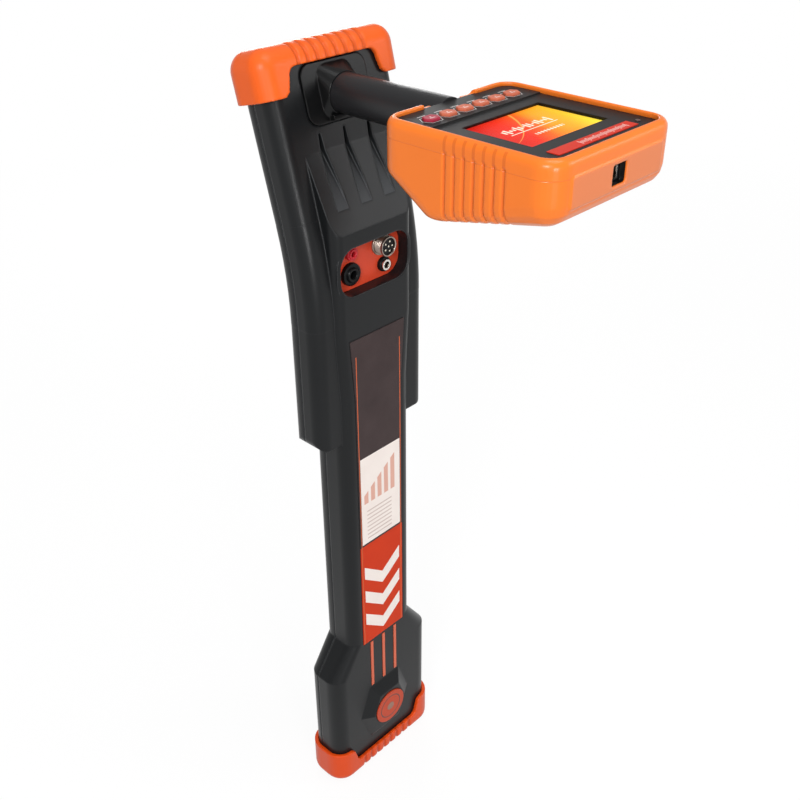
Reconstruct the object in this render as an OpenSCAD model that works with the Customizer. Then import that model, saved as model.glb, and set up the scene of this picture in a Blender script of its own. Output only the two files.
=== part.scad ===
// Receiver wand of a cable locator, with a leaning head, a round handle and a display unit.
// Millimetres, +Z up. The sole is at z = 0 and the display unit stands out towards -Y.

/* [Wand] */
// Height from the sole to the top of the bumper
total_h = 700; // [680:5:720]
// Width of the wing and the head
wing_w = 120; // [114:1:126]
// Width of the narrow column
column_w = 78; // [74:1:84]
// Width of the foot
foot_w = 126; // [120:1:132]
// Depth of the column and the foot
wand_d = 39; // [38:0.5:42]
// Depth of the wing and the head
wing_d = 34; // [33:0.5:36]
// Depth of the rear shell
rear_d = 14.5; // [14:0.5:16]
// Wall of both shells
wall = 3; // [2.5:0.1:3.5]
// Edge radius of the column, the wing and the head
edge_r = 11; // [9:0.5:13]
// Edge radius of the foot
foot_r = 14; // [12:0.5:14.5]
// Height of the shoulder of the foot
foot_h = 133; // [125:1:140]
// Height of the flare from the foot to the column
flare_h = 32; // [26:1:38]
// Length of the wing below the bend
wing_l = 108; // [104:1:115]
// Corner radius of the lower end of the wing
wing_r = 9; // [6:0.5:12]
// Height of the leaning part, from the bend to the top of the bumper
head_l = 200; // [195:1:205]
// Radius of the bend at the back face
bend_r = 300; // [270:5:330]
// Lean of the head in degrees
lean = 14.5; // [12:0.5:17]
// Width and depth of the groove along the seam
seam_groove = 0.8; // [0.4:0.1:1.2]

/* [Console] */
// Width of the console
console_w = 82; // [78:1:88]
// Edge radius of the console
console_r = 8; // [5:0.5:9]
// Distance from the bend down to where the column starts to widen to the console
console_start = 70; // [60:1:80]
// Distance from the bend down to where the console has its full width
console_full = 9; // [5:1:20]
// Height of the ridge above the start of the bend
ridge_rise = 72.5; // [68:0.5:76]
// Angle of the slope above the ridge, from upright
slope = 26; // [23:0.5:29]
// Number of scoops in the slope
scoop_n = 3; // [1:2:3]
// Pitch of the scoops
scoop_pitch = 24; // [20:0.5:25]
// Width of a scoop at its lower end
scoop_w = 11; // [8:0.5:14]
// Length of a scoop
scoop_l = 57; // [48:1:60]
// Height of the lower end of the scoops above the ridge
scoop_rise = 15; // [12:0.5:20]
// Angle of a scoop's floor to the slope
scoop_cut = 5.5; // [4:0.5:6.5]
// Thickness of the pad behind the scoops and the handle
pad_t = 11; // [10:0.5:12]
// Width of the pad
pad_w = 76; // [70:1:80]

/* [Connector pocket] */
// Width of the pocket
pocket_w = 72; // [68:1:74]
// Height of the pocket
pocket_h = 39; // [37:0.5:42]
// Corner radius of the pocket
pocket_r = 14; // [9:0.5:17]
// Depth of the pocket to its floor
pocket_d = 13; // [11:0.5:14]
// Distance from the ridge down to the middle of the pocket
pocket_drop = 31; // [29:0.5:33]
// Thickness of the coloured panel
panel_t = 2; // [1.5:0.1:2.5]
// Outer radius of the signal connector
signal_r = 8; // [7:0.25:8.5]
// Length of the signal connector in front of the panel
signal_l = 10; // [8:0.5:12]
// Radius of a contact pin
pin_r = 0.7; // [0.5:0.05:0.9]
// Bore radius of the banana socket
banana_bore_r = 2.05; // [2:0.01:2.1]
// Outer radius of the banana socket
banana_r = 5.5; // [5:0.25:6]
// Bore radius of the phone jack
phone_bore_r = 3.2; // [3.18:0.01:3.25]
// Outer radius of the phone jack
phone_r = 9; // [8.5:0.25:9.5]
// Bore radius of the charging jack
charge_bore_r = 2.8; // [2.75:0.05:3]
// Outer radius of the charging jack
charge_r = 6; // [5.5:0.25:6.5]

/* [Label and badge] */
// Height of the lower end of the label
label_z = 163; // [160:1:166]
// Distance from the bend down to the upper end of the label
label_drop = 15; // [10:1:22]
// Width of the label on the column
label_w = 52; // [46:1:54]
// Width of the label at its upper end
label_top_w = 60; // [54:1:64]
// Thickness of the label
label_t = 1; // [0.8:0.1:1.4]
// How far the label is let into the wand
inlay_d = 0.5; // [0.3:0.1:0.6]
// Pitch of the stripes
stripe_pitch = 15.4; // [13:0.2:17]
// Width of a stripe
stripe_w = 3.2; // [2:0.1:3.6]
// Length of the stripes
stripe_l = 57; // [48:1:58]
// Height of the middle of the boss
boss_z = 67; // [64:1:70]
// Half height of the boss at its base
boss_base = 34; // [30:0.5:35]
// Half height of the boss at its face
boss_face = 22; // [20:0.5:24]
// Height of the boss
boss_h = 7.5; // [6:0.5:9]
// Radius of the badge
badge_r = 18.5; // [15:0.5:19]
// Thickness of the badge
badge_t = 2; // [1.6:0.1:2.4]
// Radius of the middle of the badge
dot_r = 4.5; // [3:0.5:6]

/* [Rubber bumpers] */
// Thickness of the rubber
rubber_t = 4; // [3:0.5:5]
// Thickness of the sole
sole_t = 5; // [4:0.5:6]
// Edge radius of the sole
sole_r = 8; // [6:0.5:9]
// Height of the ears of the foot boot
foot_ear_h = 37; // [33:1:40]
// Height of the notch between the ears of the foot boot
foot_notch_h = 18; // [15:1:22]
// Width of the notches in both bumpers
notch_w = 92; // [86:1:94]
// Radius of the inner corners of the ears
ear_r = 5; // [3:0.5:6]
// Radius of the top edges of the top bumper
cap_r = 14; // [12:0.5:15]
// Thickness of the rubber at the sides of the head
cap_side_t = 6.5; // [5:0.1:7]
// Thickness of the rubber on the top of the head
cap_top_t = 9; // [8.5:0.1:10]
// Depth of the ears of the top bumper
cap_ear_h = 35; // [31:1:38]
// Depth of the top bumper at the notch
cap_notch_h = 16; // [15:0.5:20]
// Number of grooves in each bumper
rib_n = 8; // [4:2:10]
// Pitch of the grooves
rib_pitch = 9; // [7:0.2:9.2]
// Depth of the grooves
rib_d = 1.4; // [0.8:0.1:1.6]

/* [Handle] */
// Outer radius of the handle
handle_r = 14.5; // [13.5:0.25:15]
// Bore radius of the handle
handle_bore_r = 7; // [6:0.25:8]
// Distance from the top of the bumper down to the axis of the handle
handle_drop = 35.5; // [34:0.5:37]
// Clear length of the handle in front of the head
handle_l = 107; // [95:1:120]
// Width of the handle plate
plate_w = 62; // [58:1:66]
// Height of the handle plate
plate_h = 42; // [40:1:43]
// Corner radius of the handle plate
plate_r = 9; // [6:0.5:12]
// How far the handle plate is let into the head
plate_in = 4; // [3.5:0.1:4.5]
// How far the handle plate stands proud of the head
plate_out = 1.5; // [1:0.1:2]
// Length of the collar at the root of the handle
collar_l = 9; // [8:0.5:12]
// Radius of the lead in the handle
lead_r = 3.5; // [2.5:0.1:4]

/* [Display unit] */
// Width over the rubber boot
unit_w = 125; // [120:1:130]
// Length over the rubber boot
unit_l = 135; // [131:1:140]
// Thickness of the rubber boot at the sides
boot_t = 5; // [4:0.5:5.5]
// Corner radius of the boot seen from above
unit_r = 16; // [15:0.5:18]
// Height of the unit, from the underside to the rim
unit_h = 56.5; // [54:0.5:60]
// Height of the front end of the unit
front_h = 42; // [40:0.5:44]
// Height of the rear end of the unit
rear_h = 39; // [37:0.5:41]
// How far the faceplate lies below the rim
rim_h = 3.5; // [3:0.1:4]
// Width of the rim
rim_w = 6; // [5.7:0.1:6.5]
// Height of the rim above the axis of the handle
unit_rise = 14.9; // [14.6:0.1:16]
// Thickness of the faceplate
face_t = 4; // [3.6:0.1:4.4]
// Width of the visible screen
screen_w = 76; // [70:1:80]
// Length of the visible screen
screen_l = 53; // [48:1:54]
// Distance from the front rim to the screen
screen_y = 28.5; // [27:0.5:30]
// Thickness of the window over the screen
window_t = 1.5; // [1.2:0.1:1.8]
// Height of the raised key bar
bar_h = 1; // [0.6:0.1:1.4]
// Width of the raised key bar, front to back
bar_l = 29; // [28:0.5:31]
// Number of keys
key_n = 6; // [6:1:6]
// Pitch of the keys
key_pitch = 15.7; // [14.5:0.1:15.8]
// Width of a key
key_w = 12.5; // [11:0.1:13]
// Length of a key, front to back
key_l = 9; // [8:0.1:10]
// Height of a key above the key bar
key_h = 1.8; // [1.2:0.1:2.4]
// Travel of a key
key_travel = 0.5; // [0.3:0.05:0.6]
// Width of the strip in front of the screen
strip_w = 80; // [74:1:84]
// Length of the strip, front to back
strip_l = 9; // [7:0.5:10]
// Number of grooves in each side of the boot
side_rib_n = 7; // [5:1:7]
// Pitch of the side grooves
side_rib_pitch = 7.4; // [6.5:0.1:7.6]
// Distance from the rear end of the boot to the first side groove
side_rib_y = 55.5; // [53:0.5:58]
// Width of the data socket
usb_w = 12.4; // [12:0.1:13]
// Height of the data socket
usb_h = 11; // [10.5:0.1:11.4]
// Offset of the data socket from the middle
usb_x = 1; // [-3:0.5:4]

/* [Inside] */
// Radius of an antenna rod
rod_r = 5; // [4:0.25:6]
// Radius of an antenna coil
coil_r = 9; // [7.5:0.25:9.5]
// Distance from the ends of the level antenna rods to the sides of the wand
rod_in = 12; // [10:0.5:15]
// Distance from the ends of the coils to the ends of their rods
coil_in = 18; // [16:0.5:20]
// Length of the upright antenna rod, as a share of the height between the level rods
null_share = 0.281; // [0.25:0.001:0.29]
// Height of the lower antenna rod
lower_z = 76; // [70:1:80]
// Height of the middle of the upright rod, as a share of the height between the level rods
null_at = 0.348; // [0.33:0.001:0.36]
// Distance from the bend down to the upper antenna rod
upper_drop = 68; // [64:1:72]
// Width of the battery pack
pack_w = 52; // [46:1:56]
// Depth of the battery pack
pack_d = 24; // [20:0.5:26]
// Height of the battery pack, as a share of the height between the level rods
pack_share = 0.247; // [0.22:0.001:0.26]
// Height of the underside of the battery pack, as a share of the height between the level rods
pack_at = 0.562; // [0.55:0.001:0.57]
// Width of the receiver board
board_w = 76; // [70:1:78]
// Height of the receiver board
board_h = 90; // [80:1:94]
// Thickness of the circuit boards
board_t = 1.6; // [1.2:0.1:2]
// Shank radius of the screws
screw_r = 1.5; // [1.25:0.05:1.6]
// Head radius of the screws
head_r = 2.9; // [2.6:0.1:3]
// Head height of the screws
head_h = 2.2; // [1.8:0.1:2.6]
// Radius of the screw posts
post_r = 4.5; // [4:0.1:5]

/* [Fits] */
// Gap between seated pieces
fit = 0.1; // [0.05:0.01:0.2]
// Gap around a moving key
key_gap = 0.3; // [0.2:0.05:0.4]
// Gap around a screw shank
screw_gap = 0.08; // [0.05:0.01:0.15]

/* [Hidden] */
$fn = 48;
// facets of the round pieces inside a hull
soft_fn = 32;
// overlap of joined solids
lap = 1;
// size of a cutting block
big = 300;
// how far the bend stands proud of the straight parts, so that it ends in clean edges
bend_step = 0.1;

// faces of the wand, front to back
front_y = -wand_d / 2;
back_y = wand_d / 2;
seam_y = back_y - rear_d;
wing_y = back_y - wing_d;
column_z = foot_h + flare_h;
bend_z = total_h - head_l;
wing_z = bend_z - wing_l;
console_z = bend_z - console_start;
console_full_z = bend_z - console_full;
label_l = bend_z - label_drop - label_z;

// axis of the bend, and the line where the front face gets straight again
bend_y = back_y + bend_r;
front_bend_r = bend_y - wing_y;
head_y = bend_y - front_bend_r * cos(lean);
head_z = bend_z + front_bend_r * sin(lean);

// heights in the leaning frame
cap_flat = wing_d / 2 + rubber_t - cap_r;
mid_y = (wing_y + back_y) / 2;
cap_z = bend_z + cap_r
    + (total_h - bend_z - cap_r - (bend_y - mid_y + cap_flat) * sin(lean)) / cos(lean);
head_top = cap_z - cap_top_t;

// console, its ridge and the line where its slope meets the leaning face
ridge_z = bend_z + ridge_rise;
slope_z = (head_y - head_z * tan(lean) - front_y + ridge_z * tan(slope)) / (tan(slope) - tan(lean));
slope_y = front_y + (slope_z - ridge_z) * tan(slope);
pocket_z = ridge_z - pocket_drop;
pocket_floor = front_y + pocket_d;
panel_y = pocket_floor - panel_t;
floor_back = pocket_floor + wall;

// places of the sockets, from the middle of the pocket
banana_at = [-16.5, 10.5];
phone_at = [-17.5, -6];
signal_at = [15.5, 8.5];
charge_at = [18, -9];
// radii of the socket bodies behind the panel
banana_body = banana_r - 1.9;
phone_body = phone_r - 2.5;
signal_body = signal_r - 1.5;
charge_body_r = charge_r - 1;
// length of the bodies behind the pocket floor, and of their nuts
body_l = 4.5;
nut_t = 2.5;

// handle and its plate
handle_z = total_h - handle_drop;
root_y = head_y + (handle_z - head_z) * tan(lean);
tube_back = root_y - collar_l / 2;
collar_t = 0.8;
collar_y = root_y - collar_l;
plate_gap = 0.4;
plate_z = cap_z - cap_notch_h - 2 * plate_gap - plate_h / 2;
spigot_r = handle_r - 4.5;
spigot_l = 5;

// display unit
unit_back = root_y - handle_l;
unit_y1 = unit_back + boot_t;
unit_y0 = unit_y1 - unit_l;
rim_z = handle_z + unit_rise;
face_z = rim_z - rim_h;
face_lo = face_z - face_t;
bar_z = face_z + bar_h;
unit_lo = rim_z - unit_h;
front_lo = rim_z - front_h;
rear_lo = rim_z - rear_h;
low_y = unit_y1 - unit_l / 3;
low_half = 12;
// edge radii of the boot, at the rim, the rear, the underside and the front
top_e = 5.5;
rear_e = 7.5;
low_e = 6;
front_e = 14;
house_w = unit_w - 2 * boot_t;
house_y0 = unit_y0 + boot_t;
house_l = unit_back - house_y0;
house_mid = (house_y0 + unit_back) / 2;
house_r = unit_r - boot_t;
// opening of the rim
rim_y0 = unit_y0 + rim_w;
rim_y1 = unit_y1 - rim_w;
rim_r = unit_r - rim_w;
// gap between the key bar and the rim
rim_gap = 0.5;
// tongue of the key bar on each side of the handle
tongue_out = 10;
tongue_w = 2 * (handle_r + tongue_out);
// flat panel at the front end of the boot
end_w = unit_w - 2 * unit_r;
end_h = 19;
end_out = 1;
end_r = 2;
// screen
screen_mid = rim_y0 + screen_y + screen_l / 2;
window_lip = 3;
window_hi = face_z - 1;
window_lo = window_hi - window_t;
lcd_t = 6;
board_hi = window_lo - lcd_t - 2 * fit;
board_lo = board_hi - board_t;
board_front = 18;
board_rear = 12;
board_y0 = house_y0 + board_front;
board_y1 = unit_back - board_rear;
unit_board_w = house_w - 2 * wall - 2 * rod_in;
// keys
bar_y1 = rim_y1 - rim_gap;
bar_y0 = bar_y1 - bar_l;
key_in = 11;
key_y = bar_y0 + key_in;
key_edge = 2.6;
flange_out = 0.75;
flange_t = 1.3;
flange_hi = face_lo - 0.2;
flange_lo = flange_hi - flange_t;
dome_hi = flange_lo - key_travel - 0.3;
mat_t = 1.5;
// strip and lamp
strip_t = 0.9;
strip_in = 12.5;
strip_y = rim_y0 + strip_in;
led_r = 1.7;
led_in = 11;
led_at = [house_w / 2 - led_in, strip_y];
// data socket
usb_z = handle_z - 6;
usb_l = 15;
usb_wall = 0.8;
// posts of the display unit, by their distance from its sides and ends, and the underside of its screws
rear_post = [9, 7];
front_post = [14, 7.5];
unit_posts = [for (x = [-1, 1])
    for (p = [[rear_post[0], unit_back - rear_post[1]], [front_post[0], house_y0 + front_post[1]]])
        [x * (house_w / 2 - p[0]), p[1]]];
unit_head_z = front_lo + front_e;

// antennas and battery pack, from the sole
upper_z = bend_z - upper_drop;
rod_rise = upper_z - lower_z;
null_z = lower_z + null_at * rod_rise;
null_l = null_share * rod_rise;
pack_z = lower_z + pack_at * rod_rise;
pack_h = pack_share * rod_rise;

// screws of the shells: across and height, upright ones and those of the leaning head
screw_in = 14;
foot_screw_z = foot_ear_h + 2.5 * post_r;
upright_screws = [for (x = [-1, 1]) for (p = [[foot_w / 2 - screw_in - rubber_t / 2, foot_screw_z],
    [foot_w / 2 - screw_in - rubber_t / 2, foot_h - screw_in], [column_w / 2 - screw_in, pack_z - screw_in],
    [wing_w / 2 - screw_in, wing_z + screw_in + wall], [wing_w / 2 - screw_in, bend_z - 2 * screw_in]])
    [x * p[0], p[1]]];
head_screws = [for (x = [-1, 1]) for (z = [bend_z + screw_in, head_top - cap_ear_h - screw_in / 2])
    [x * (wing_w / 2 - screw_in), z]];
shank_l = 16.5;
head_y_in = back_y - 7.5;
plate_screws_at = [for (x = [-1, 1]) for (z = [-1, 1])
    [x * (plate_w / 2 - 7), plate_z + z * (plate_h / 2 - 6)]];

// inside
rod_y = 1;
rod_l = min(foot_w, wing_w) - 2 * rod_in;
inner_back = back_y - wall;
saddle_t = 6;
saddle_h = 2 * rod_r + 6;
saddle_x = rod_l / 2 - 8;
null_saddle = null_l / 2 - 7;
coil_l = rod_l - 2 * coil_in;
pack_y = 0;
main_back = 10;
board_drop = pocket_h + wall;
main_z = pocket_z - board_drop;
main_posts = [for (x = [-1, 1]) for (z = [-1, 1]) [x * (board_w / 2 - 6), main_z + z * (board_h / 2 - 6)]];
peg_r = 1.5;

// back face at a height, below the leaning part
function back_at(z) = z > bend_z ? bend_y - sqrt(bend_r * bend_r - (z - bend_z) * (z - bend_z)) : back_y;

// places children of the leaning head, drawn as if it stood upright
module lean_frame() {
    translate([0, bend_y, bend_z])
        rotate([-lean, 0, 0])
            translate([0, -bend_y, -bend_z])
                children();
}

// extrudes a shape drawn across and up, from y towards -Y
module out_y(y, l) {
    translate([0, y, 0])
        rotate([90, 0, 0])
            linear_extrude(l)
                children();
}

// extrudes a side view, drawn along Y and up, across the middle
module across(w) {
    rotate([90, 0, 90])
        linear_extrude(w, center = true)
            children();
}

module round_rect(w, l, r) {
    square([w, l - 2 * r], center = true);
    square([w - 2 * r, l], center = true);
    for (x = [-1, 1])
        for (y = [-1, 1])
            translate([x * (w / 2 - r), y * (l / 2 - r)])
                circle(r = r);
}

// half of a section of the wand, from the seam to a face, inset by g
module half_section(side, w, face, r, g, start) {
    d = abs(face - seam_y) - g;
    e = r - g;
    h = w / 2 - g;
    translate([0, seam_y])
        mirror([0, side < 0 ? 1 : 0])
            intersection() {
                union() {
                    translate([-h, start - e])
                        square([2 * h, d - start]);
                    translate([e - h, start])
                        square([2 * h - 2 * e, d - start]);
                    for (x = [-1, 1])
                        translate([x * (h - e), d - e])
                            circle(r = e);
                }
                translate([-h, start])
                    square([2 * h, d - start]);
            }
}

// outline of the wing with its rounded lower corners
module wing_outline(g) {
    r = wing_r - g;
    h = wing_w / 2 - g;
    z = wing_z + g;
    out_y(big / 2, big) {
        translate([-h, z + r])
            square([2 * h, bend_z - z]);
        translate([r - h, z])
            square([2 * h - 2 * r, 2 * r]);
        for (x = [-1, 1])
            translate([x * (h - r), z + r])
                circle(r = r);
    }
}

// one half of the wand, inset by g, from the sole to the top of the head
module wand_half(side, g, start, column_top) {
    column_face = side < 0 ? front_y : back_y;
    wing_face = side < 0 ? wing_y : back_y;
    translate([0, 0, sole_t + g])
        linear_extrude(foot_h - sole_t - g)
            half_section(side, foot_w, column_face, foot_r, g, start);
    hull() {
        translate([0, 0, foot_h - lap])
            linear_extrude(lap)
                half_section(side, foot_w, column_face, foot_r, g, start, $fn = soft_fn);
        translate([0, 0, column_z])
            linear_extrude(lap)
                half_section(side, column_w, column_face, edge_r, g, start, $fn = soft_fn);
    }
    translate([0, 0, column_z])
        linear_extrude(column_top - column_z)
            half_section(side, column_w, column_face, edge_r, g, start);
    intersection() {
        translate([0, 0, wing_z])
            linear_extrude(bend_z - wing_z + lap)
                half_section(side, wing_w, wing_face, edge_r, g, start);
        wing_outline(g);
    }
    translate([0, bend_y, bend_z])
        rotate([90, 0, -90])
            rotate_extrude(angle = lean)
                translate([bend_y, 0])
                    rotate(90)
                        half_section(side, wing_w, wing_face, edge_r, g - bend_step, start);
    lean_frame()
        translate([0, 0, bend_z - lap])
            linear_extrude(head_top - bend_z + lap - g)
                half_section(side, wing_w, wing_face, edge_r, g, start);
}

// raised console in front of the wing, with its ridge and slope
module console() {
    hull() {
        translate([0, 0, console_z - lap])
            linear_extrude(lap)
                half_section(-1, column_w, front_y, edge_r, 0, 0, $fn = soft_fn);
        translate([0, 0, console_full_z])
            linear_extrude(lap)
                half_section(-1, console_w, front_y, console_r, 0, 0, $fn = soft_fn);
    }
    intersection() {
        translate([0, 0, console_full_z])
            linear_extrude(big)
                half_section(-1, console_w, front_y, console_r, 0, -wand_d);
        across(console_w)
            polygon([[front_y, console_full_z], [front_y, ridge_z], [slope_y, slope_z],
                [slope_y + wall, slope_z], [head_y + wall, head_z], [wing_y + wall, bend_z],
                [wing_y + wall, console_full_z]]);
    }
}

module hexagon(b) {
    polygon([[-0.58 * b, -b], [0.58 * b, -b], [0.95 * b, 0], [0.58 * b, b], [-0.58 * b, b], [-0.95 * b, 0]]);
}

// six-sided boss on the foot
module foot_boss() {
    hull() {
        translate([0, 0, boss_z])
            out_y(front_y + lap, lap)
                hexagon(boss_base);
        translate([0, 0, boss_z])
            out_y(front_y - boss_h + lap, lap)
                hexagon(boss_face);
    }
}

module label_shape(g) {
    w = label_w / 2 + g;
    t = label_top_w / 2 + g;
    polygon([[-w, label_z - g], [w, label_z - g], [w, console_z], [t, label_z + label_l + g],
        [-t, label_z + label_l + g], [-w, console_z]]);
}

module stripe_shape(g) {
    for (k = [-1, 0, 1])
        translate([k * stripe_pitch - stripe_w / 2 - g, label_z - 3 - stripe_l - g])
            square([stripe_w + 2 * g, stripe_l + 2 * g]);
}

// round hole or body along Y at a place in the pocket
module socket(at, r, y, l) {
    translate([at[0], 0, pocket_z + at[1]])
        out_y(y, l)
            circle(r = r);
}

module at_screws(list) {
    for (p = list)
        translate([p[0], 0, p[1]])
            children();
}

// holes of the shell screws, as deep as the screws
module screw_holes() {
    out_y(back_y + lap, back_y + lap - head_y_in)
        circle(r = head_r + 2 * fit);
    out_y(head_y_in + lap, shank_l + lap + fit)
        circle(r = screw_r + screw_gap);
}

module scoop() {
    polygon([[-scoop_w / 2, 0], [scoop_w / 2, 0], [scoop_w * 0.42, scoop_l * 0.35], [scoop_w * 0.1, scoop_l],
        [-scoop_w * 0.1, scoop_l], [-scoop_w * 0.42, scoop_l * 0.35]]);
}

module front_shell() {
    color("#2b2d2f")
    difference() {
        union() {
            difference() {
                union() {
                    wand_half(-1, 0, 0, console_z);
                    console();
                    foot_boss();
                }
                wand_half(-1, wall, -lap, pocket_z - pocket_h / 2 - wall);
            }
            // tub behind the pocket
            translate([0, 0, pocket_z])
                out_y(floor_back, pocket_d + wall - lap)
                    round_rect(pocket_w + 2 * wall, pocket_h + 2 * wall, pocket_r + wall);
            // pad behind the scoops and the handle
            lean_frame()
                translate([-pad_w / 2, wing_y + lap, bend_z - lap])
                    cube([pad_w, pad_t - lap, head_top - wall - bend_z]);
            at_screws([for (p = upright_screws) if (p[1] < wing_z) p])
                out_y(seam_y, seam_y - front_y - lap)
                    circle(r = post_r);
            at_screws([for (p = upright_screws) if (p[1] > wing_z) p])
                out_y(seam_y, seam_y - wing_y - lap)
                    circle(r = post_r);
            lean_frame()
                at_screws(head_screws)
                    out_y(seam_y, seam_y - wing_y - lap)
                        circle(r = post_r);
        }
        translate([0, 0, pocket_z])
            out_y(pocket_floor, pocket_d + lap)
                round_rect(pocket_w, pocket_h, pocket_r);
        socket(banana_at, banana_body + fit, floor_back + lap, big);
        socket(phone_at, phone_body + fit, floor_back + lap, big);
        socket(signal_at, signal_body + fit, floor_back + lap, big);
        socket(charge_at, charge_body_r + fit, floor_back + lap, big);
        for (k = [0 : scoop_n - 1])
            translate([(k - (scoop_n - 1) / 2) * scoop_pitch, front_y + scoop_rise * tan(slope),
                ridge_z + scoop_rise])
                rotate([-slope - scoop_cut, 0, 0])
                    out_y(0, wand_d)
                        scoop();
        out_y(front_y + inlay_d, wand_d)
            label_shape(fit);
        out_y(front_y + inlay_d, wand_d)
            stripe_shape(fit);
        translate([0, 0, boss_z])
            out_y(front_y - boss_h + badge_t / 2, wand_d)
                circle(r = badge_r + fit);
        // seat of the handle plate, the lead and the plate's screws
        lean_frame()
            translate([0, 0, plate_z])
                out_y(wing_y + plate_in, wand_d)
                    round_rect(plate_w + 2 * plate_gap, plate_h + 2 * plate_gap, plate_r + plate_gap);
        translate([0, 0, handle_z])
            out_y(root_y + 2 * pad_t, 4 * pad_t)
                circle(r = handle_bore_r);
        lean_frame()
            at_screws(plate_screws_at)
                out_y(wing_y + pad_t + lap, pad_t + lap)
                    circle(r = screw_r + screw_gap);
        at_screws(upright_screws)
            screw_holes();
        lean_frame()
            at_screws(head_screws)
                screw_holes();
    }
}

// cradle for a level antenna rod
module level_saddles(z) {
    for (x = [-1, 1])
        translate([x * saddle_x - saddle_t / 2, rod_y, z - saddle_h / 2])
            cube([saddle_t, inner_back - rod_y + lap, saddle_h]);
}

module level_bar(z, r, l) {
    translate([-l / 2, rod_y, z])
        rotate([0, 90, 0])
            cylinder(r = r, h = l);
}

module null_bar(r, l) {
    translate([0, rod_y, null_z - l / 2])
        cylinder(r = r, h = l);
}

module rear_shell() {
    color("#2b2d2f")
    difference() {
        union() {
            difference() {
                union() {
                    wand_half(1, 0, seam_groove, wing_z + 2 * wing_r);
                    wand_half(1, seam_groove, 0, wing_z + 2 * wing_r);
                }
                wand_half(1, wall, -lap, wing_z + 2 * wing_r);
            }
            level_saddles(lower_z);
            level_saddles(upper_z);
            for (z = [-1, 1])
                translate([-saddle_h / 2, rod_y, null_z + z * null_saddle - saddle_t / 2])
                    cube([saddle_h, inner_back - rod_y + lap, saddle_t]);
            // shelf, stop and rest of the battery pack
            translate([-pack_w / 2, pack_y - pack_d / 3, pack_z - fit - wall])
                cube([pack_w, inner_back + lap - pack_y + pack_d / 3, wall]);
            translate([-pack_w / 2, pack_y, pack_z + pack_h + fit])
                cube([pack_w, inner_back + lap - pack_y, wall]);
            translate([-pack_w / 4, pack_y + pack_d / 2 + fit, pack_z + wall])
                cube([pack_w / 2, inner_back + lap - pack_y - pack_d / 2 - fit, pack_h - 2 * wall]);
            // posts and pegs of the receiver board
            for (p = main_posts) {
                translate([p[0], 0, p[1]])
                    out_y(back_at(p[1]) - lap, back_at(p[1]) - lap - main_back)
                        circle(r = 2 * peg_r);
                translate([p[0], 0, p[1]])
                    out_y(main_back + lap, board_t + 2 * lap)
                        circle(r = peg_r);
            }
            at_screws(upright_screws)
                out_y(back_y - lap, back_y - lap - seam_y)
                    circle(r = post_r);
            lean_frame()
                at_screws(head_screws)
                    out_y(back_y - lap, back_y - lap - seam_y)
                        circle(r = post_r);
        }
        level_bar(lower_z, rod_r + fit, rod_l);
        level_bar(upper_z, rod_r + fit, rod_l);
        null_bar(rod_r + fit, null_l);
        at_screws(upright_screws)
            screw_holes();
        lean_frame()
            at_screws(head_screws)
                screw_holes();
    }
}

// ring used at the rounded corners of the boots
module rim_ring(r, e) {
    rotate_extrude($fn = soft_fn)
        intersection() {
            translate([r - e, 0])
                circle(r = e, $fn = soft_fn / 2);
            translate([0, -e])
                square([r, 2 * e]);
        }
}

// outside of the top bumper in the leaning frame, inset by g
module cap_form(g) {
    hull()
        for (x = [-1, 1])
            for (y = [-1, 1])
                translate([x * (wing_w / 2 + cap_side_t - cap_r), mid_y + y * cap_flat, cap_z - cap_ear_h]) {
                    cylinder(r = cap_r - g, h = cap_ear_h - cap_r, $fn = soft_fn);
                    translate([0, 0, cap_ear_h - cap_r])
                        sphere(r = cap_r - g, $fn = soft_fn);
                }
}

// slabs that leave the grooves of the bumpers
module rib_slabs(z, h) {
    for (k = [0 : rib_n - 1])
        translate([(k - (rib_n - 1) / 2) * rib_pitch - rib_pitch / 5, -big / 2, z])
            cube([rib_pitch / 2.5, big, h]);
}

// notch between two ears, h high, opening downwards
module notch_shape(h) {
    r = h / 3;
    polygon([[-notch_w / 2, 0], [notch_w / 2, 0], [notch_w / 2 - h / 5, h - r], [notch_w / 2 - h / 5 - r, h],
        [h / 5 + r - notch_w / 2, h], [h / 5 - notch_w / 2, h - r]]);
    for (x = [-1, 1])
        translate([x * (notch_w / 2 - h / 5 - r), h - r])
            circle(r = r);
    // round corners of the ears
    for (x = [-1, 1])
        mirror([x < 0 ? 1 : 0, 0])
            translate([notch_w / 2 - lap, 0])
                difference() {
                    square([ear_r, ear_r + lap]);
                    translate([ear_r, ear_r + lap])
                        circle(r = ear_r);
                }
}

module top_bumper() {
    color("#f26a1b")
    lean_frame()
    difference() {
        cap_form(0);
        for (side = [-1, 1])
            translate([0, 0, bend_z])
                linear_extrude(head_top + fit - bend_z)
                    half_section(side, wing_w, side < 0 ? wing_y : back_y, edge_r, -fit, -lap);
        translate([0, 0, cap_z - cap_ear_h - lap])
            out_y(mid_y, big)
                notch_shape(cap_ear_h - cap_notch_h + lap);
        intersection() {
            rib_slabs(cap_z - cap_ear_h, 2 * cap_ear_h);
            difference() {
                translate([-big / 2, -big / 2, cap_z - cap_ear_h - lap])
                    cube([big, big, 2 * cap_ear_h]);
                cap_form(rib_d);
            }
        }
    }
}

// outside of the foot boot, inset by g
module sole_form(g) {
    r = foot_r + rubber_t;
    hull()
        for (x = [-1, 1])
            for (y = [-1, 1])
                translate([x * (foot_w / 2 + rubber_t - r), y * (wand_d / 2 + rubber_t - r), 0]) {
                    translate([0, 0, sole_r])
                        rim_ring(r - g, sole_r - g);
                    translate([0, 0, sole_r])
                        cylinder(r = r - g, h = foot_ear_h - sole_r, $fn = soft_fn);
                }
}

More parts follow.
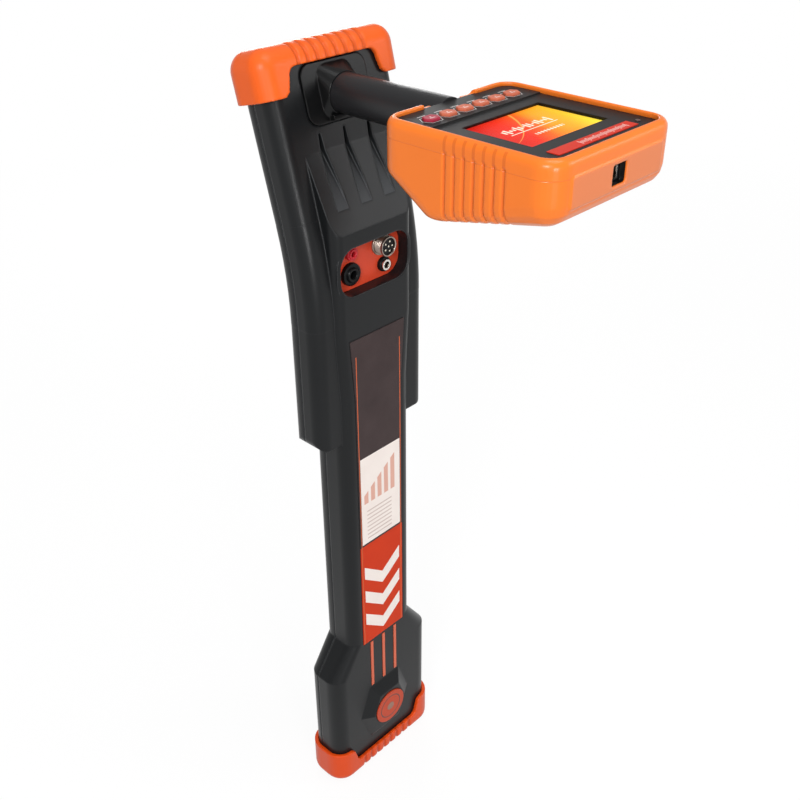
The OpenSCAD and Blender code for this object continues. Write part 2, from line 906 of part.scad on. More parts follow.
module foot_boot() {
    color("#f26a1b")
    difference() {
        sole_form(0);
        for (side = [-1, 1])
            translate([0, 0, sole_t - fit])
                linear_extrude(big)
                    half_section(side, foot_w, side < 0 ? front_y : back_y, foot_r, -fit, -lap);
        translate([0, 0, foot_ear_h + lap])
            mirror([0, 0, 1])
                out_y(big / 2, big)
                    notch_shape(foot_ear_h - foot_notch_h + lap);
        intersection() {
            rib_slabs(-lap, foot_ear_h);
            difference() {
                translate([-big / 2, -big / 2, -lap])
                    cube([big, big, foot_notch_h]);
                sole_form(rib_d);
            }
        }
    }
}

module front_label() {
    color("#33302f")
    out_y(front_y + inlay_d, label_t)
        label_shape(0);
}

module foot_stripes() {
    color("#e8521e")
    out_y(front_y + inlay_d, label_t)
        stripe_shape(0);
}

module badge_disc() {
    color("#b8432a")
    translate([0, 0, boss_z])
        difference() {
            out_y(front_y - boss_h + badge_t / 2, badge_t)
                circle(r = badge_r);
            out_y(front_y - boss_h, badge_t)
                circle(r = dot_r + fit);
        }
}

module badge_centre() {
    color("#8d6656")
    translate([0, 0, boss_z])
        out_y(front_y - boss_h, badge_t / 2 + fit)
            circle(r = dot_r);
}

module connector_panel() {
    color("#e0481f")
    difference() {
        translate([0, 0, pocket_z])
            out_y(pocket_floor, panel_t)
                round_rect(pocket_w - 4 * fit, pocket_h - 4 * fit, pocket_r - 2 * fit);
        socket(banana_at, banana_body + fit, pocket_floor + lap, panel_t + 2 * lap);
        socket(phone_at, phone_body + fit, pocket_floor + lap, panel_t + 2 * lap);
        socket(signal_at, signal_body + fit, pocket_floor + lap, panel_t + 2 * lap);
        socket(charge_at, charge_body_r + fit, pocket_floor + lap, panel_t + 2 * lap);
    }
}

// length of a body from the panel's face to its rear end
body_in = floor_back + body_l - panel_y;
// bore of the signal connector, its insert and the ring of pins
signal_in = signal_r - 1.2;
signal_face = panel_y - signal_l + 1.6;
pin_ring = signal_in * 0.58;

module signal_shell() {
    color("#b9b4ae")
    difference() {
        union() {
            socket(signal_at, signal_body, panel_y + body_in, body_in);
            socket(signal_at, signal_r + 1.2, panel_y, 1.6);
            socket(signal_at, signal_r, panel_y, signal_l);
        }
        socket(signal_at, signal_in, panel_y - 1, signal_l);
    }
}

module at_pins() {
    for (a = [0 : 4])
        translate([pin_ring * sin(72 * a + 20), pin_ring * cos(72 * a + 20)])
            children();
    children();
}

module signal_insert() {
    color("#1b1b1c")
    difference() {
        socket(signal_at, signal_in - fit / 2, panel_y - 1, panel_y - 1 - signal_face);
        translate([signal_at[0], 0, pocket_z + signal_at[1]])
            out_y(signal_face + 3, 4)
                at_pins()
                    circle(r = pin_r + fit / 2);
    }
}

module signal_pins() {
    color("#d8c9a0")
    translate([signal_at[0], 0, pocket_z + signal_at[1]])
        out_y(signal_face + 3, 4)
            at_pins()
                circle(r = pin_r);
}

module banana_socket() {
    color("#c4242c")
    difference() {
        union() {
            socket(banana_at, banana_body, panel_y + body_in, body_in);
            socket(banana_at, banana_r, panel_y, 3.5);
            socket(banana_at, banana_r - 1.5, panel_y, 4.5);
        }
        socket(banana_at, banana_bore_r, panel_y + body_in - 2, body_in + 10);
    }
}

module phone_jack() {
    color("#161617")
    difference() {
        union() {
            socket(phone_at, phone_body, panel_y + body_in, body_in);
            socket(phone_at, phone_r, panel_y, 3.5);
            socket(phone_at, phone_body - 1, panel_y, 5);
        }
        socket(phone_at, phone_bore_r, panel_y + body_in - 2, body_in + 10);
    }
}

module charge_body() {
    color("#161617")
    difference() {
        union() {
            socket(charge_at, charge_body_r, panel_y + body_in, body_in);
            socket(charge_at, charge_r, panel_y, 3);
        }
        socket(charge_at, charge_body_r - 0.6, panel_y + body_in - 2, body_in + 10);
    }
}

module charge_sleeve() {
    color("#cfcfcf")
    difference() {
        socket(charge_at, charge_body_r - 0.6 - fit / 2, panel_y + body_in - 2, body_in + 2.8);
        socket(charge_at, charge_bore_r, panel_y + body_in - 4, body_in + 10);
    }
    socket(charge_at, 1, panel_y + body_in - 3, body_in - 1);
}

// one nut behind the pocket floor
module socket_nut(at, r) {
    difference() {
        translate([at[0], 0, pocket_z + at[1]])
            out_y(floor_back + nut_t, nut_t)
                circle(r = r + 2, $fn = 6);
        socket(at, r + fit / 2, floor_back + nut_t + lap, nut_t + 2 * lap);
    }
}

module socket_nuts() {
    color("#9a9a98") {
        socket_nut(banana_at, banana_body);
        socket_nut(phone_at, phone_body);
        socket_nut(signal_at, signal_body);
        socket_nut(charge_at, charge_body_r);
    }
}

module handle_plate() {
    color("#2b2d2f")
    difference() {
        union() {
            lean_frame()
                translate([0, 0, plate_z])
                    out_y(wing_y + plate_in, plate_in + plate_out)
                        round_rect(plate_w, plate_h, plate_r);
            // root of the handle, from a rounded block to a round collar
            hull() {
                lean_frame()
                    translate([0, 0, plate_z])
                        out_y(wing_y, plate_out)
                            round_rect(2 * handle_r + 5, plate_h - 4, plate_r, $fn = soft_fn);
                translate([0, 0, handle_z])
                    out_y(collar_y + lap, lap)
                        circle(r = handle_r + collar_t, $fn = soft_fn);
            }
            // small shelf under the handle
            lean_frame()
                translate([0, 0, plate_z - plate_h / 2 + 1])
                    out_y(wing_y, plate_out + 5)
                        translate([-handle_r + 2, 0])
                            square([2 * handle_r - 4, 3.5]);
        }
        translate([0, 0, handle_z])
            out_y(tube_back, big)
                circle(r = handle_r + fit);
        translate([0, 0, handle_z])
            out_y(back_y + wall, big)
                circle(r = handle_bore_r);
        lean_frame()
            at_screws(plate_screws_at)
                out_y(wing_y + plate_in + lap, plate_in + lap)
                    circle(r = screw_r + screw_gap);
    }
}

module handle_tube() {
    color("#242527")
    translate([0, 0, handle_z])
        difference() {
            union() {
                out_y(tube_back - fit, tube_back - fit - unit_back - fit)
                    circle(r = handle_r);
                out_y(tube_back - fit, tube_back - fit - unit_back + spigot_l)
                    circle(r = spigot_r);
            }
            out_y(tube_back + lap, big)
                circle(r = handle_bore_r);
        }
}

module handle_harness() {
    color("#1b1b1c")
    translate([0, 0, handle_z - handle_bore_r + lead_r + fit / 2])
        out_y(root_y + pad_t, root_y + pad_t - unit_back + spigot_l)
            circle(r = lead_r);
}

// outline of the housing seen from above, inset by g
module house_plan(g) {
    translate([0, house_mid])
        round_rect(house_w - 2 * g, house_l - 2 * g, house_r - g);
}

// housing of the display unit, inset by g
module house_form(g, top) {
    intersection() {
        across(house_w)
            polygon([[unit_back - g, top], [unit_back - g, rear_lo + boot_t + g],
                [low_y + low_half - g / 2, unit_lo + boot_t + 2 + g],
                [low_y - low_half, unit_lo + boot_t + 2 + g],
                [house_y0 + g, front_lo + boot_t + low_e / 2 + g], [house_y0 + g, top]]);
        translate([0, 0, unit_lo])
            linear_extrude(2 * unit_h)
                house_plan(g);
    }
}

module usb_hole(y, l, g) {
    translate([usb_x, 0, usb_z])
        out_y(y, l)
            square([usb_w + 2 * g, usb_h + 2 * g], center = true);
}

// hole for the end of the handle
module spigot_hole() {
    translate([0, 0, handle_z])
        out_y(unit_back + lap, spigot_l + lap + fit)
            circle(r = spigot_r + fit);
}

// opening of the rim, inset by g
module rim_opening(g) {
    translate([0, (rim_y0 + rim_y1) / 2])
        round_rect(unit_w - 2 * rim_w - 2 * g, rim_y1 - rim_y0 - 2 * g, rim_r - g);
}

module display_housing() {
    color("#2b2d2f")
    difference() {
        union() {
            difference() {
                house_form(0, face_lo - fit);
                house_form(wall, face_lo + lap);
            }
            // posts of the screws and of the board
            intersection() {
                house_form(0, face_lo - fit);
                union() {
                    for (p = unit_posts)
                        translate([p[0], p[1], unit_lo])
                            cylinder(r = post_r - 0.5, h = unit_h);
                    for (x = [-1, 1])
                        for (y = [board_y0 + 8, board_y1 - 8])
                            translate([x * (unit_board_w / 2 - post_r), y, unit_lo])
                                cylinder(r = 3, h = board_lo - fit - unit_lo);
                }
            }
            // boss round the end of the handle
            intersection() {
                house_form(0, face_lo - fit);
                translate([0, 0, handle_z])
                    out_y(unit_back, spigot_l + wall)
                        square([2 * spigot_r + 4 * wall, 2 * unit_h], center = true);
            }
        }
        spigot_hole();
        translate([0, 0, handle_z])
            out_y(unit_back, spigot_l + 3 * wall)
                circle(r = handle_bore_r);
        usb_hole(house_y0 + 2 * wall, 4 * wall, fit);
        for (p = unit_posts)
            translate([p[0], p[1], 0]) {
                translate([0, 0, unit_lo])
                    cylinder(r = head_r + 2 * fit, h = unit_head_z - unit_lo);
                translate([0, 0, unit_lo])
                    cylinder(r = screw_r + screw_gap, h = unit_h);
            }
    }
}

module key_shape(g) {
    w = key_w / 2 + g;
    l = key_l / 2 + g;
    polygon([[-w, 0], [key_edge - w, l], [w - key_edge, l], [w, 0], [w - key_edge, -l], [key_edge - w, -l]]);
}

function key_x(k) = (k - (key_n + 1) / 2) * key_pitch;

module faceplate() {
    color("#1f2022")
    difference() {
        union() {
            translate([0, 0, face_lo])
                linear_extrude(face_t)
                    house_plan(0);
            // key bar, with its tongue that meets the handle
            translate([0, 0, face_lo])
                linear_extrude(face_t + bar_h)
                    intersection() {
                        rim_opening(rim_gap);
                        translate([-unit_w / 2, bar_y0])
                            square([unit_w, bar_l]);
                    }
            translate([-tongue_w / 2, bar_y0, face_lo])
                cube([tongue_w, unit_back - bar_y0, face_t + bar_h]);
        }
        translate([-screen_w / 2, screen_mid - screen_l / 2, face_lo - lap])
            cube([screen_w, screen_l, 2 * face_t]);
        translate([-screen_w / 2 - window_lip - fit, screen_mid - screen_l / 2 - window_lip - fit,
            face_lo - lap])
            cube([screen_w + 2 * window_lip + 2 * fit, screen_l + 2 * window_lip + 2 * fit,
                window_hi + fit / 2 - face_lo + lap]);
        for (k = [1 : key_n])
            translate([key_x(k), key_y, face_lo - lap])
                linear_extrude(3 * face_t)
                    key_shape(key_gap);
        spigot_hole();
        translate([led_at[0], led_at[1], face_lo - lap])
            cylinder(r = led_r + fit, h = 2 * face_t);
        translate([-strip_w / 2 - fit, strip_y - strip_l / 2 - fit, face_z - strip_t / 2])
            cube([strip_w + 2 * fit, strip_l + 2 * fit, face_t]);
        for (p = unit_posts)
            translate([p[0], p[1], face_lo - lap])
                cylinder(r = screw_r + screw_gap, h = face_t);
    }
}

// outside of the rubber boot, inset by g
module boot_form(g) {
    hull()
        for (x = [-1, 1])
            translate([x * (unit_w / 2 - unit_r), 0, 0]) {
                for (y = [unit_y0 + unit_r, unit_y1 - unit_r])
                    translate([0, y, rim_z - top_e])
                        rim_ring(unit_r - g, top_e - g);
                translate([0, unit_y1 - unit_r, rear_lo + rear_e])
                    rim_ring(unit_r - g, rear_e - g);
                translate([0, low_y, unit_lo + low_e])
                    rim_ring(unit_r - g, low_e - g);
                translate([0, unit_y0 + unit_r, front_lo + front_e])
                    rim_ring(unit_r - g, front_e - g);
            }
}

module display_boot() {
    color("#f5862a")
    difference() {
        union() {
            boot_form(0);
            // flat panel at the front end
            translate([0, 0, usb_z])
                out_y(unit_y0 + boot_t, boot_t + end_out)
                    round_rect(end_w, end_h, end_r);
        }
        house_form(-fit, face_z);
        // opening of the rim, the tongue of the key bar and the end of the handle
        translate([0, 0, face_z - lap])
            linear_extrude(unit_h)
                rim_opening(0);
        translate([-tongue_w / 2 - rim_gap, rim_y1 - lap, face_z])
            cube([tongue_w + 2 * rim_gap, big, unit_h]);
        translate([0, 0, handle_z])
            out_y(unit_y1 + lap, 2 * boot_t) {
                circle(r = handle_r + fit);
                translate([-handle_r - fit, 0])
                    square([2 * handle_r + 2 * fit, unit_h]);
            }
        usb_hole(house_y0 + lap, 4 * boot_t, 1);
        // side grooves
        intersection() {
            for (k = [0 : side_rib_n - 1])
                translate([-big / 2, unit_y1 - side_rib_y - k * side_rib_pitch - 1.2, unit_lo - lap])
                    cube([big, 2.4, unit_h - 9]);
            difference() {
                translate([-big / 2, unit_y0, unit_lo - lap])
                    cube([big, unit_l, unit_h]);
                boot_form(1.3);
                translate([-unit_w / 2 + unit_r, unit_y0, unit_lo - 2 * lap])
                    cube([unit_w - 2 * unit_r, unit_l, unit_h]);
            }
        }
    }
}

module lcd_window() {
    color("#5a2a18")
    translate([-screen_w / 2 - window_lip, screen_mid - screen_l / 2 - window_lip, window_lo])
        cube([screen_w + 2 * window_lip, screen_l + 2 * window_lip, window_t]);
}

module key(k) {
    translate([key_x(k), key_y, 0]) {
        translate([0, 0, flange_lo])
            linear_extrude(flange_t)
                square([key_w + 2 * flange_out, key_l + 2 * flange_out], center = true);
        translate([0, 0, flange_lo])
            linear_extrude(bar_z + key_h * 0.6 - flange_lo)
                key_shape(0);
        translate([0, 0, bar_z])
            linear_extrude(key_h)
                key_shape(-0.5);
    }
}

module key_1() {
    color("#c8323e")
    key(1);
}

module key_2() {
    color("#e07a5e")
    key(2);
}

module key_3() {
    color("#e07a5e")
    key(3);
}

module key_4() {
    color("#e07a5e")
    key(4);
}

module key_5() {
    color("#e07a5e")
    key(5);
}

module key_6() {
    color("#e07a5e")
    key(6);
}

module label_strip() {
    color("#cf2f27")
    translate([-strip_w / 2, strip_y - strip_l / 2, face_z - strip_t / 2])
        cube([strip_w, strip_l, strip_t]);
}

module status_led() {
    color("#25201f")
    translate([led_at[0], led_at[1], 0]) {
        translate([0, 0, face_lo - 1.5])
            cylinder(r = led_r, h = face_t + 2);
        translate([0, 0, face_lo - 1.5])
            cylinder(r = led_r + 0.7, h = 1.5 - fit);
    }
}

module usb_socket() {
    color("#c7c9cb")
    difference() {
        usb_hole(house_y0 + usb_l, usb_l, 0);
        usb_hole(house_y0 + usb_l - usb_wall, usb_l, -usb_wall);
    }
    color("#1b1b1c")
    translate([usb_x, 0, usb_z])
        out_y(house_y0 + usb_l - usb_wall / 2, usb_l - 2)
            square([usb_w - 5, usb_h - 7], center = true);
}

module coil(r, z) {
    difference() {
        level_bar(z, r, coil_l);
        level_bar(z, rod_r + fit, coil_l + 2);
    }
}

module lower_antenna_rod() {
    color("#3b3a38")
    level_bar(lower_z, rod_r, rod_l - 2 * fit);
}

module lower_antenna_coil() {
    color("#b4662e")
    coil(coil_r, lower_z);
}

module upper_antenna_rod() {
    color("#3b3a38")
    level_bar(upper_z, rod_r, rod_l - 2 * fit);
}

module upper_antenna_coil() {
    color("#b4662e")
    coil(coil_r, upper_z);
}

module null_antenna_rod() {
    color("#3b3a38")
    null_bar(rod_r, null_l - 2 * fit);
}

module null_antenna_coil() {
    color("#b4662e")
    difference() {
        null_bar(coil_r, null_l - 2 * coil_in);
        null_bar(rod_r + fit, null_l);
    }
}

module battery_pack() {
    color("#3d5a8a")
    translate([-pack_w / 2, pack_y - pack_d / 2, pack_z])
        cube([pack_w, pack_d, pack_h]);
}

module main_board() {
    color("#1f6b3a")
    difference() {
        translate([-board_w / 2, main_back - fit - board_t, main_z - board_h / 2])
            cube([board_w, board_t, board_h]);
        for (p = main_posts)
            translate([p[0], 0, p[1]])
                out_y(main_back + lap, board_t + 4 * lap)
                    circle(r = peg_r + fit);
    }
}

// one screw with its head towards +Y, the underside of the head at y
module screw_y(y, l) {
    out_y(y + head_h, head_h)
        circle(r = head_r);
    out_y(y + lap, l + lap)
        circle(r = screw_r);
}

module shell_screws() {
    color("#8d8f91") {
        at_screws(upright_screws)
            screw_y(head_y_in + fit, shank_l);
        lean_frame()
            at_screws(head_screws)
                screw_y(head_y_in + fit, shank_l);
    }
}

module plate_screws() {
    color("#8d8f91")
    lean_frame()
        at_screws(plate_screws_at)
            screw_y(wing_y + pad_t + fit, pad_t - 2 * fit);
}

module lcd_module() {
    color("#3a3c40")
    translate([-screen_w / 2 - 2, screen_mid - screen_l / 2 - 2, window_lo - fit - lcd_t])
        cube([screen_w + 4, screen_l + 4, lcd_t]);
}

module display_board() {
    color("#1f6b3a")
    translate([-unit_board_w / 2, board_y0, board_lo])
        cube([unit_board_w, board_y1 - board_y0, board_t]);
}

module keypad_mat() {
    color("#8a8a86") {
        translate([key_x(1) - key_w / 2, key_y - key_l / 2 - 1.5, board_hi + fit])
            cube([key_x(key_n) - key_x(1) + key_w, key_l + 3, mat_t]);
        for (k = [1 : key_n])
            translate([key_x(k), key_y, board_hi + fit])
                cylinder(r = 2.5, h = dome_hi - board_hi - fit);
    }
}

module display_screws() {
    color("#8d8f91")
    for (p = unit_posts)
        translate([p[0], p[1], unit_head_z - fit]) {
            translate([0, 0, -head_h])
                cylinder(r = head_r, h = head_h);
            translate([0, 0, -lap])
                cylinder(r = screw_r, h = face_lo + face_t - lap - unit_head_z);
        }
}

module sounder() {
    color("#1b1b1c")
    translate([screen_w / 4, screen_mid, board_lo - fit - 6])
        cylinder(r = 10, h = 6);
}

front_shell();
rear_shell();
top_bumper();
foot_boot();
front_label();
foot_stripes();
badge_disc();
badge_centre();
connector_panel();
signal_shell();
signal_insert();
signal_pins();
banana_socket();
phone_jack();
charge_body();
charge_sleeve();
socket_nuts();
handle_plate();
handle_tube();
display_housing();
faceplate();
display_boot();
lcd_window();
key_1();
key_2();
key_3();
key_4();
key_5();
key_6();
label_strip();
status_led();
usb_socket();
lower_antenna_rod();
lower_antenna_coil();
null_antenna_rod();
null_antenna_coil();
upper_antenna_rod();
upper_antenna_coil();
battery_pack();
main_board();
shell_screws();
plate_screws();
handle_harness();
lcd_module();
display_board();
keypad_mat();
display_screws();
sounder();
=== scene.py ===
import math

import bpy
from mathutils import Matrix, Vector


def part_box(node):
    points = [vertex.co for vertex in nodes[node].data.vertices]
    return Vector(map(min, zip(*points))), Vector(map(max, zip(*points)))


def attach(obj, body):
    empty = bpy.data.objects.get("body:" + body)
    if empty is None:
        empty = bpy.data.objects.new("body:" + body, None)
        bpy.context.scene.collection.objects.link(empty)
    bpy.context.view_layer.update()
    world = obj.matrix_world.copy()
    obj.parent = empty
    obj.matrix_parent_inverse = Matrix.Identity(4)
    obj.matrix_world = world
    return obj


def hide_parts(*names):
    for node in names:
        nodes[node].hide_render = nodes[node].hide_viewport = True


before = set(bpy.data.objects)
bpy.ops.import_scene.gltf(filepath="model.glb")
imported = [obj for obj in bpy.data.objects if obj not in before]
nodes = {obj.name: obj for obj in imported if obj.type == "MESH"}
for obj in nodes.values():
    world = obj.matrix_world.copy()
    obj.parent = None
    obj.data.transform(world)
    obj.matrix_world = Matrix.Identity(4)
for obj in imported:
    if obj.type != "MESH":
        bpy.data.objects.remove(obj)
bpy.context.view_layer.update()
mm = 0.001
print("frame loaded:", len(nodes), "nodes")


# The camera stands where the photograph was taken from.
cameraPlan = {
    "place": (-0.4996, -0.52395, 0.8574),
    "azimuth": -46.13,  # round the wand from the front
    "elevation": 31.63,
    "roll": -0.38,
    "lens": 45.87,
}


def makeCamera(plan):
    az, el, roll = (math.radians(plan[k]) for k in ("azimuth", "elevation", "roll"))
    back = Vector((math.sin(az) * math.cos(el), -math.cos(az) * math.cos(el), math.sin(el)))
    right = Vector((math.cos(az), math.sin(az), 0))
    up = back.cross(right)
    across = right * math.cos(roll) + up * math.sin(roll)
    upward = up * math.cos(roll) - right * math.sin(roll)
    data = bpy.data.cameras.new("viewCamera")
    data.lens = plan["lens"]
    data.sensor_width = 36
    data.clip_start, data.clip_end = 0.01, 100
    cam = bpy.data.objects.new("viewCamera", data)
    bpy.context.scene.collection.objects.link(cam)
    turn = Matrix((across, upward, back)).transposed().to_4x4()
    cam.matrix_world = Matrix.Translation(plan["place"]) @ turn
    bpy.context.scene.camera = cam


makeCamera(cameraPlan)
bpy.context.scene.view_settings.view_transform = "Standard"


# Shader maths: a Wire stands for the value of a socket, and a Finish for one material.
def plug(tree, socket, value):
    if isinstance(value, Wire):
        tree.links.new(value.socket, socket)
    elif hasattr(socket.default_value, "__len__") and not isinstance(value, (int, float)):
        wide = len(socket.default_value)
        socket.default_value = (tuple(value) + (1.0,))[:wide] if wide == 4 else tuple(value)
    else:
        socket.default_value = value


class Wire:
    def __init__(self, tree, socket):
        self.tree = tree
        self.socket = socket

    def join(self, kind, other=None, flip=False):
        step = self.tree.nodes.new("ShaderNodeMath")
        step.operation = kind
        values = (other, self) if flip else (self, other)
        for socket, value in zip(step.inputs, values):
            if value is not None:
                plug(self.tree, socket, value)
        return Wire(self.tree, step.outputs[0])

    def __add__(self, o): return self.join("ADD", o)
    def __radd__(self, o): return self.join("ADD", o)
    def __sub__(self, o): return self.join("SUBTRACT", o)
    def __rsub__(self, o): return self.join("SUBTRACT", o, True)
    def __mul__(self, o): return self.join("MULTIPLY", o)
    def __rmul__(self, o): return self.join("MULTIPLY", o)
    def __truediv__(self, o): return self.join("DIVIDE", o)
    def __gt__(self, o): return self.join("GREATER_THAN", o)
    def __lt__(self, o): return self.join("LESS_THAN", o)
    def __abs__(self): return self.join("ABSOLUTE")


class Finish:
    def __init__(self, name):
        self.material = bpy.data.materials.new(name)
        self.material.use_nodes = True
        self.tree = self.material.node_tree
        self.shader = self.tree.nodes["Principled BSDF"]

    def node(self, kind, settings=None, links=None, out=0):
        made = self.tree.nodes.new(kind)
        for key, value in (settings or {}).items():
            if key == "stops":
                ramp = made.color_ramp.elements
                while len(ramp) < len(value):
                    ramp.new(0.5)
                for stop, (place, colour) in zip(ramp, value):
                    stop.position = place
                    stop.color = (*colour, 1)
            else:
                setattr(made, key, value)
        for key, value in (links or {}).items():
            plug(self.tree, made.inputs[key], value)
        return Wire(self.tree, made.outputs[out])

    def set(self, **sockets):
        for key, value in sockets.items():
            plug(self.tree, self.shader.inputs[key.replace("_", " ")], value)
        return self

    def place(self, axes):
        split = self.tree.nodes.new("ShaderNodeSeparateXYZ")
        plug(self.tree, split.inputs[0], self.node("ShaderNodeTexCoord", out="Object"))
        return [Wire(self.tree, split.outputs[a]) for a in axes]

    def noise(self, scale, detail=2, rough=0.5):
        return self.node("ShaderNodeTexNoise", links={
            "Vector": self.node("ShaderNodeTexCoord", out="Object"),
            "Scale": scale, "Detail": detail, "Roughness": rough})

    def mix(self, factor, a, b):
        made = self.tree.nodes.new("ShaderNodeMix")
        made.data_type = "RGBA"
        for key, value in ((0, factor), (6, a), (7, b)):  # the colour sockets share names with others
            plug(self.tree, made.inputs[key], value)
        return Wire(self.tree, made.outputs[2])

    def edge(self, radius):
        return self.node("ShaderNodeBevel", {"samples": 8}, {"Radius": radius})

    def bump(self, height, strength, distance, edge=0):
        links = {"Height": height, "Strength": strength, "Distance": distance}
        if edge:
            links["Normal"] = self.edge(edge)
        return self.node("ShaderNodeBump", links=links)


def both(*masks):
    out = masks[0]
    for m in masks[1:]:
        out = out * m
    return out


def either(*masks):
    out = masks[0]
    for m in masks[1:]:
        out = out.join("MAXIMUM", m)
    return out


# Finishes of the plain pieces.
# The edge mask marks where a painted highlight goes on the bevelled edges.
def rimMask(f, radius, gain):
    plain = f.node("ShaderNodeNewGeometry", out="True Normal")
    same = f.node("ShaderNodeVectorMath", {"operation": "DOT_PRODUCT"},
                  {0: f.edge(radius), 1: plain}, out="Value")
    return ((1 - same) * gain - 0.12).join("MAXIMUM", 0.0).join("MINIMUM", 1.0)


def mouldedPlastic(name, colour, rough, grain=1400, edge=1.2 * mm, shine=0.3, edgeHighlight=0, litScoops=None):
    f = Finish(name)
    cloud = f.noise(9, 3)
    speck = f.noise(grain, 2, 0.6)
    base = f.mix(cloud * 0.6 + speck * 0.25, [c * 0.78 for c in colour], [c * 1.25 for c in colour])
    if litScoops:  # painted light on the scoop floors, brighter towards their lower ends
        x, y, z = f.place("XYZ")
        near = abs((x / litScoops["pitch"] + 0.5).join("FRACT") - 0.5) * litScoops["pitch"] < litScoops["half"]
        depth = y - (z - litScoops["ridge"]) * litScoops["slope"] - litScoops["front"]
        deep = both(depth > 0.15 * mm, depth < litScoops["deepest"])
        down = (litScoops["top"] - z) / (litScoops["top"] - litScoops["low"])
        floor = both(near, deep, abs(x) < 1.5 * litScoops["pitch"], z > litScoops["low"] - 1 * mm, z < litScoops["top"])
        base = f.mix(floor * (down * down * 0.9 + 0.05), base, (0.042, 0.046, 0.05))
    if edgeHighlight:  # painted highlight along the edges, mottled by the speck
        base = f.mix(rimMask(f, 0.8 * mm, 3.0) * (speck * 0.5 + 0.5) * edgeHighlight, base, (0.16, 0.17, 0.18))
    f.set(Base_Color=base,
          Roughness=rough + (cloud - 0.5) * 0.16,
          Normal=f.bump(speck, 0.28, 0.12 * mm, edge),
          Specular_IOR_Level=shine)
    return f.material


def mouldedRubber(name, colour, light, groove):
    f = Finish(name)
    [x] = f.place("X")
    cloud = f.noise(14, 4)
    skin = f.noise(1100, 3, 0.6)
    # The grooves are darkened with painted shade.
    cut = both(abs((x / groove["pitch"]).join("FRACT") - 0.5) < groove["share"] / 2, abs(x) < groove["reach"])
    f.set(Base_Color=f.mix(cut * 0.55, f.mix(cloud, colour, light), [c * 0.6 for c in colour]),
          Roughness=0.34 + (cloud - 0.5) * 0.18 + skin * 0.06,
          Normal=f.bump(skin, 0.13, 0.15 * mm),
          Specular_IOR_Level=0.26)
    return f.material


def paintBoot(plan):
    f = Finish("bootRubber")
    x, y, z = f.place("XYZ")
    cloud = f.noise(14, 4)
    skin = f.noise(1100, 3, 0.6)
    base = f.mix(cloud, (0.82, 0.17, 0.013), (0.88, 0.2, 0.021))
    panel = both(y < plan["panelFront"], abs(x) < plan["panelHalf"],
                 abs(z - plan["middle"]) < plan["panelRise"])
    base = f.mix(panel * 0.75, base, (0.68, 0.2, 0.075))
    # The inside of the opening is painted near black: painted shade.
    mouth = both(abs(x - plan["mouthAcross"]) < plan["mouthHalf"], abs(z - plan["middle"]) < plan["mouthRise"],
                 y > plan["mouthFront"], y < plan["mouthBack"])
    base = f.mix(mouth, base, (0.006, 0.006, 0.006))
    # The side grooves are darkened with painted shade.
    run = (plan["firstCut"] - y) / plan["cutPitch"]
    cut = both(abs(x) > plan["sideAt"], abs(run.join("FRACT") - 0.5) < plan["cutShare"] / 2,
               run > 0, run < plan["cuts"])
    base = f.mix(cut * 0.38, base, (0.5, 0.06, 0.004))
    seam = (1 - abs(z - plan["seam"]) / plan["seamHalf"]).join("MAXIMUM", 0.0) * (y > plan["seamFront"])
    f.set(Base_Color=f.mix(seam * 0.25, base, (0.5, 0.05, 0.004)),
          Roughness=0.28 + (cloud - 0.5) * 0.16 + skin * 0.06,
          Normal=f.bump(skin * 0.12 - seam, 1.0, 0.15 * mm),
          Specular_IOR_Level=0.36)
    return f.material


def metal(name, colour, rough, grain=700):
    f = Finish(name)
    haze = f.noise(grain, 3)
    f.set(Base_Color=f.mix(haze, [c * 0.85 for c in colour], colour), Metallic=1.0,
          Roughness=rough + (haze - 0.5) * 0.12, Normal=f.bump(haze, 0.05, 0.05 * mm, 0.3 * mm))
    return f.material


scoopShape = {"pitch": 24 * mm, "half": 5.8 * mm, "ridge": 572.5 * mm, "slope": 0.4877, "front": -19.5 * mm,
              "low": 587.5 * mm, "top": 637 * mm, "deepest": 12 * mm}
# The body plastic carries painted light on the scoop floors and a painted highlight along its edges.
bodyDark = mouldedPlastic("bodyDark", (0.0074, 0.0081, 0.0089), 0.32, 1500, 2.2 * mm, shine=0.2, edgeHighlight=0.6,
                          litScoops=scoopShape)
# The handle plate is a darker copy of the body plastic: painted shade.
plateShaded = mouldedPlastic("plateShaded", (0.004, 0.0042, 0.0045), 0.32, 1500, 1.2 * mm, shine=0.2)
gripDark = mouldedPlastic("gripDark", (0.016, 0.016, 0.0175), 0.34, 1800, 0.6 * mm)
socketBlack = mouldedPlastic("socketBlack", (0.0045, 0.0045, 0.005), 0.3, 2200, 0.4 * mm, shine=0.14)
socketRed = mouldedPlastic("socketRed", (0.5, 0.014, 0.022), 0.3, 2200, 0.4 * mm)
bumperGroove = {"pitch": 9 * mm, "share": 0.4, "reach": 36 * mm}
orangeRubber = mouldedRubber("orangeRubber", (0.78, 0.105, 0.009), (0.84, 0.124, 0.014), bumperGroove)
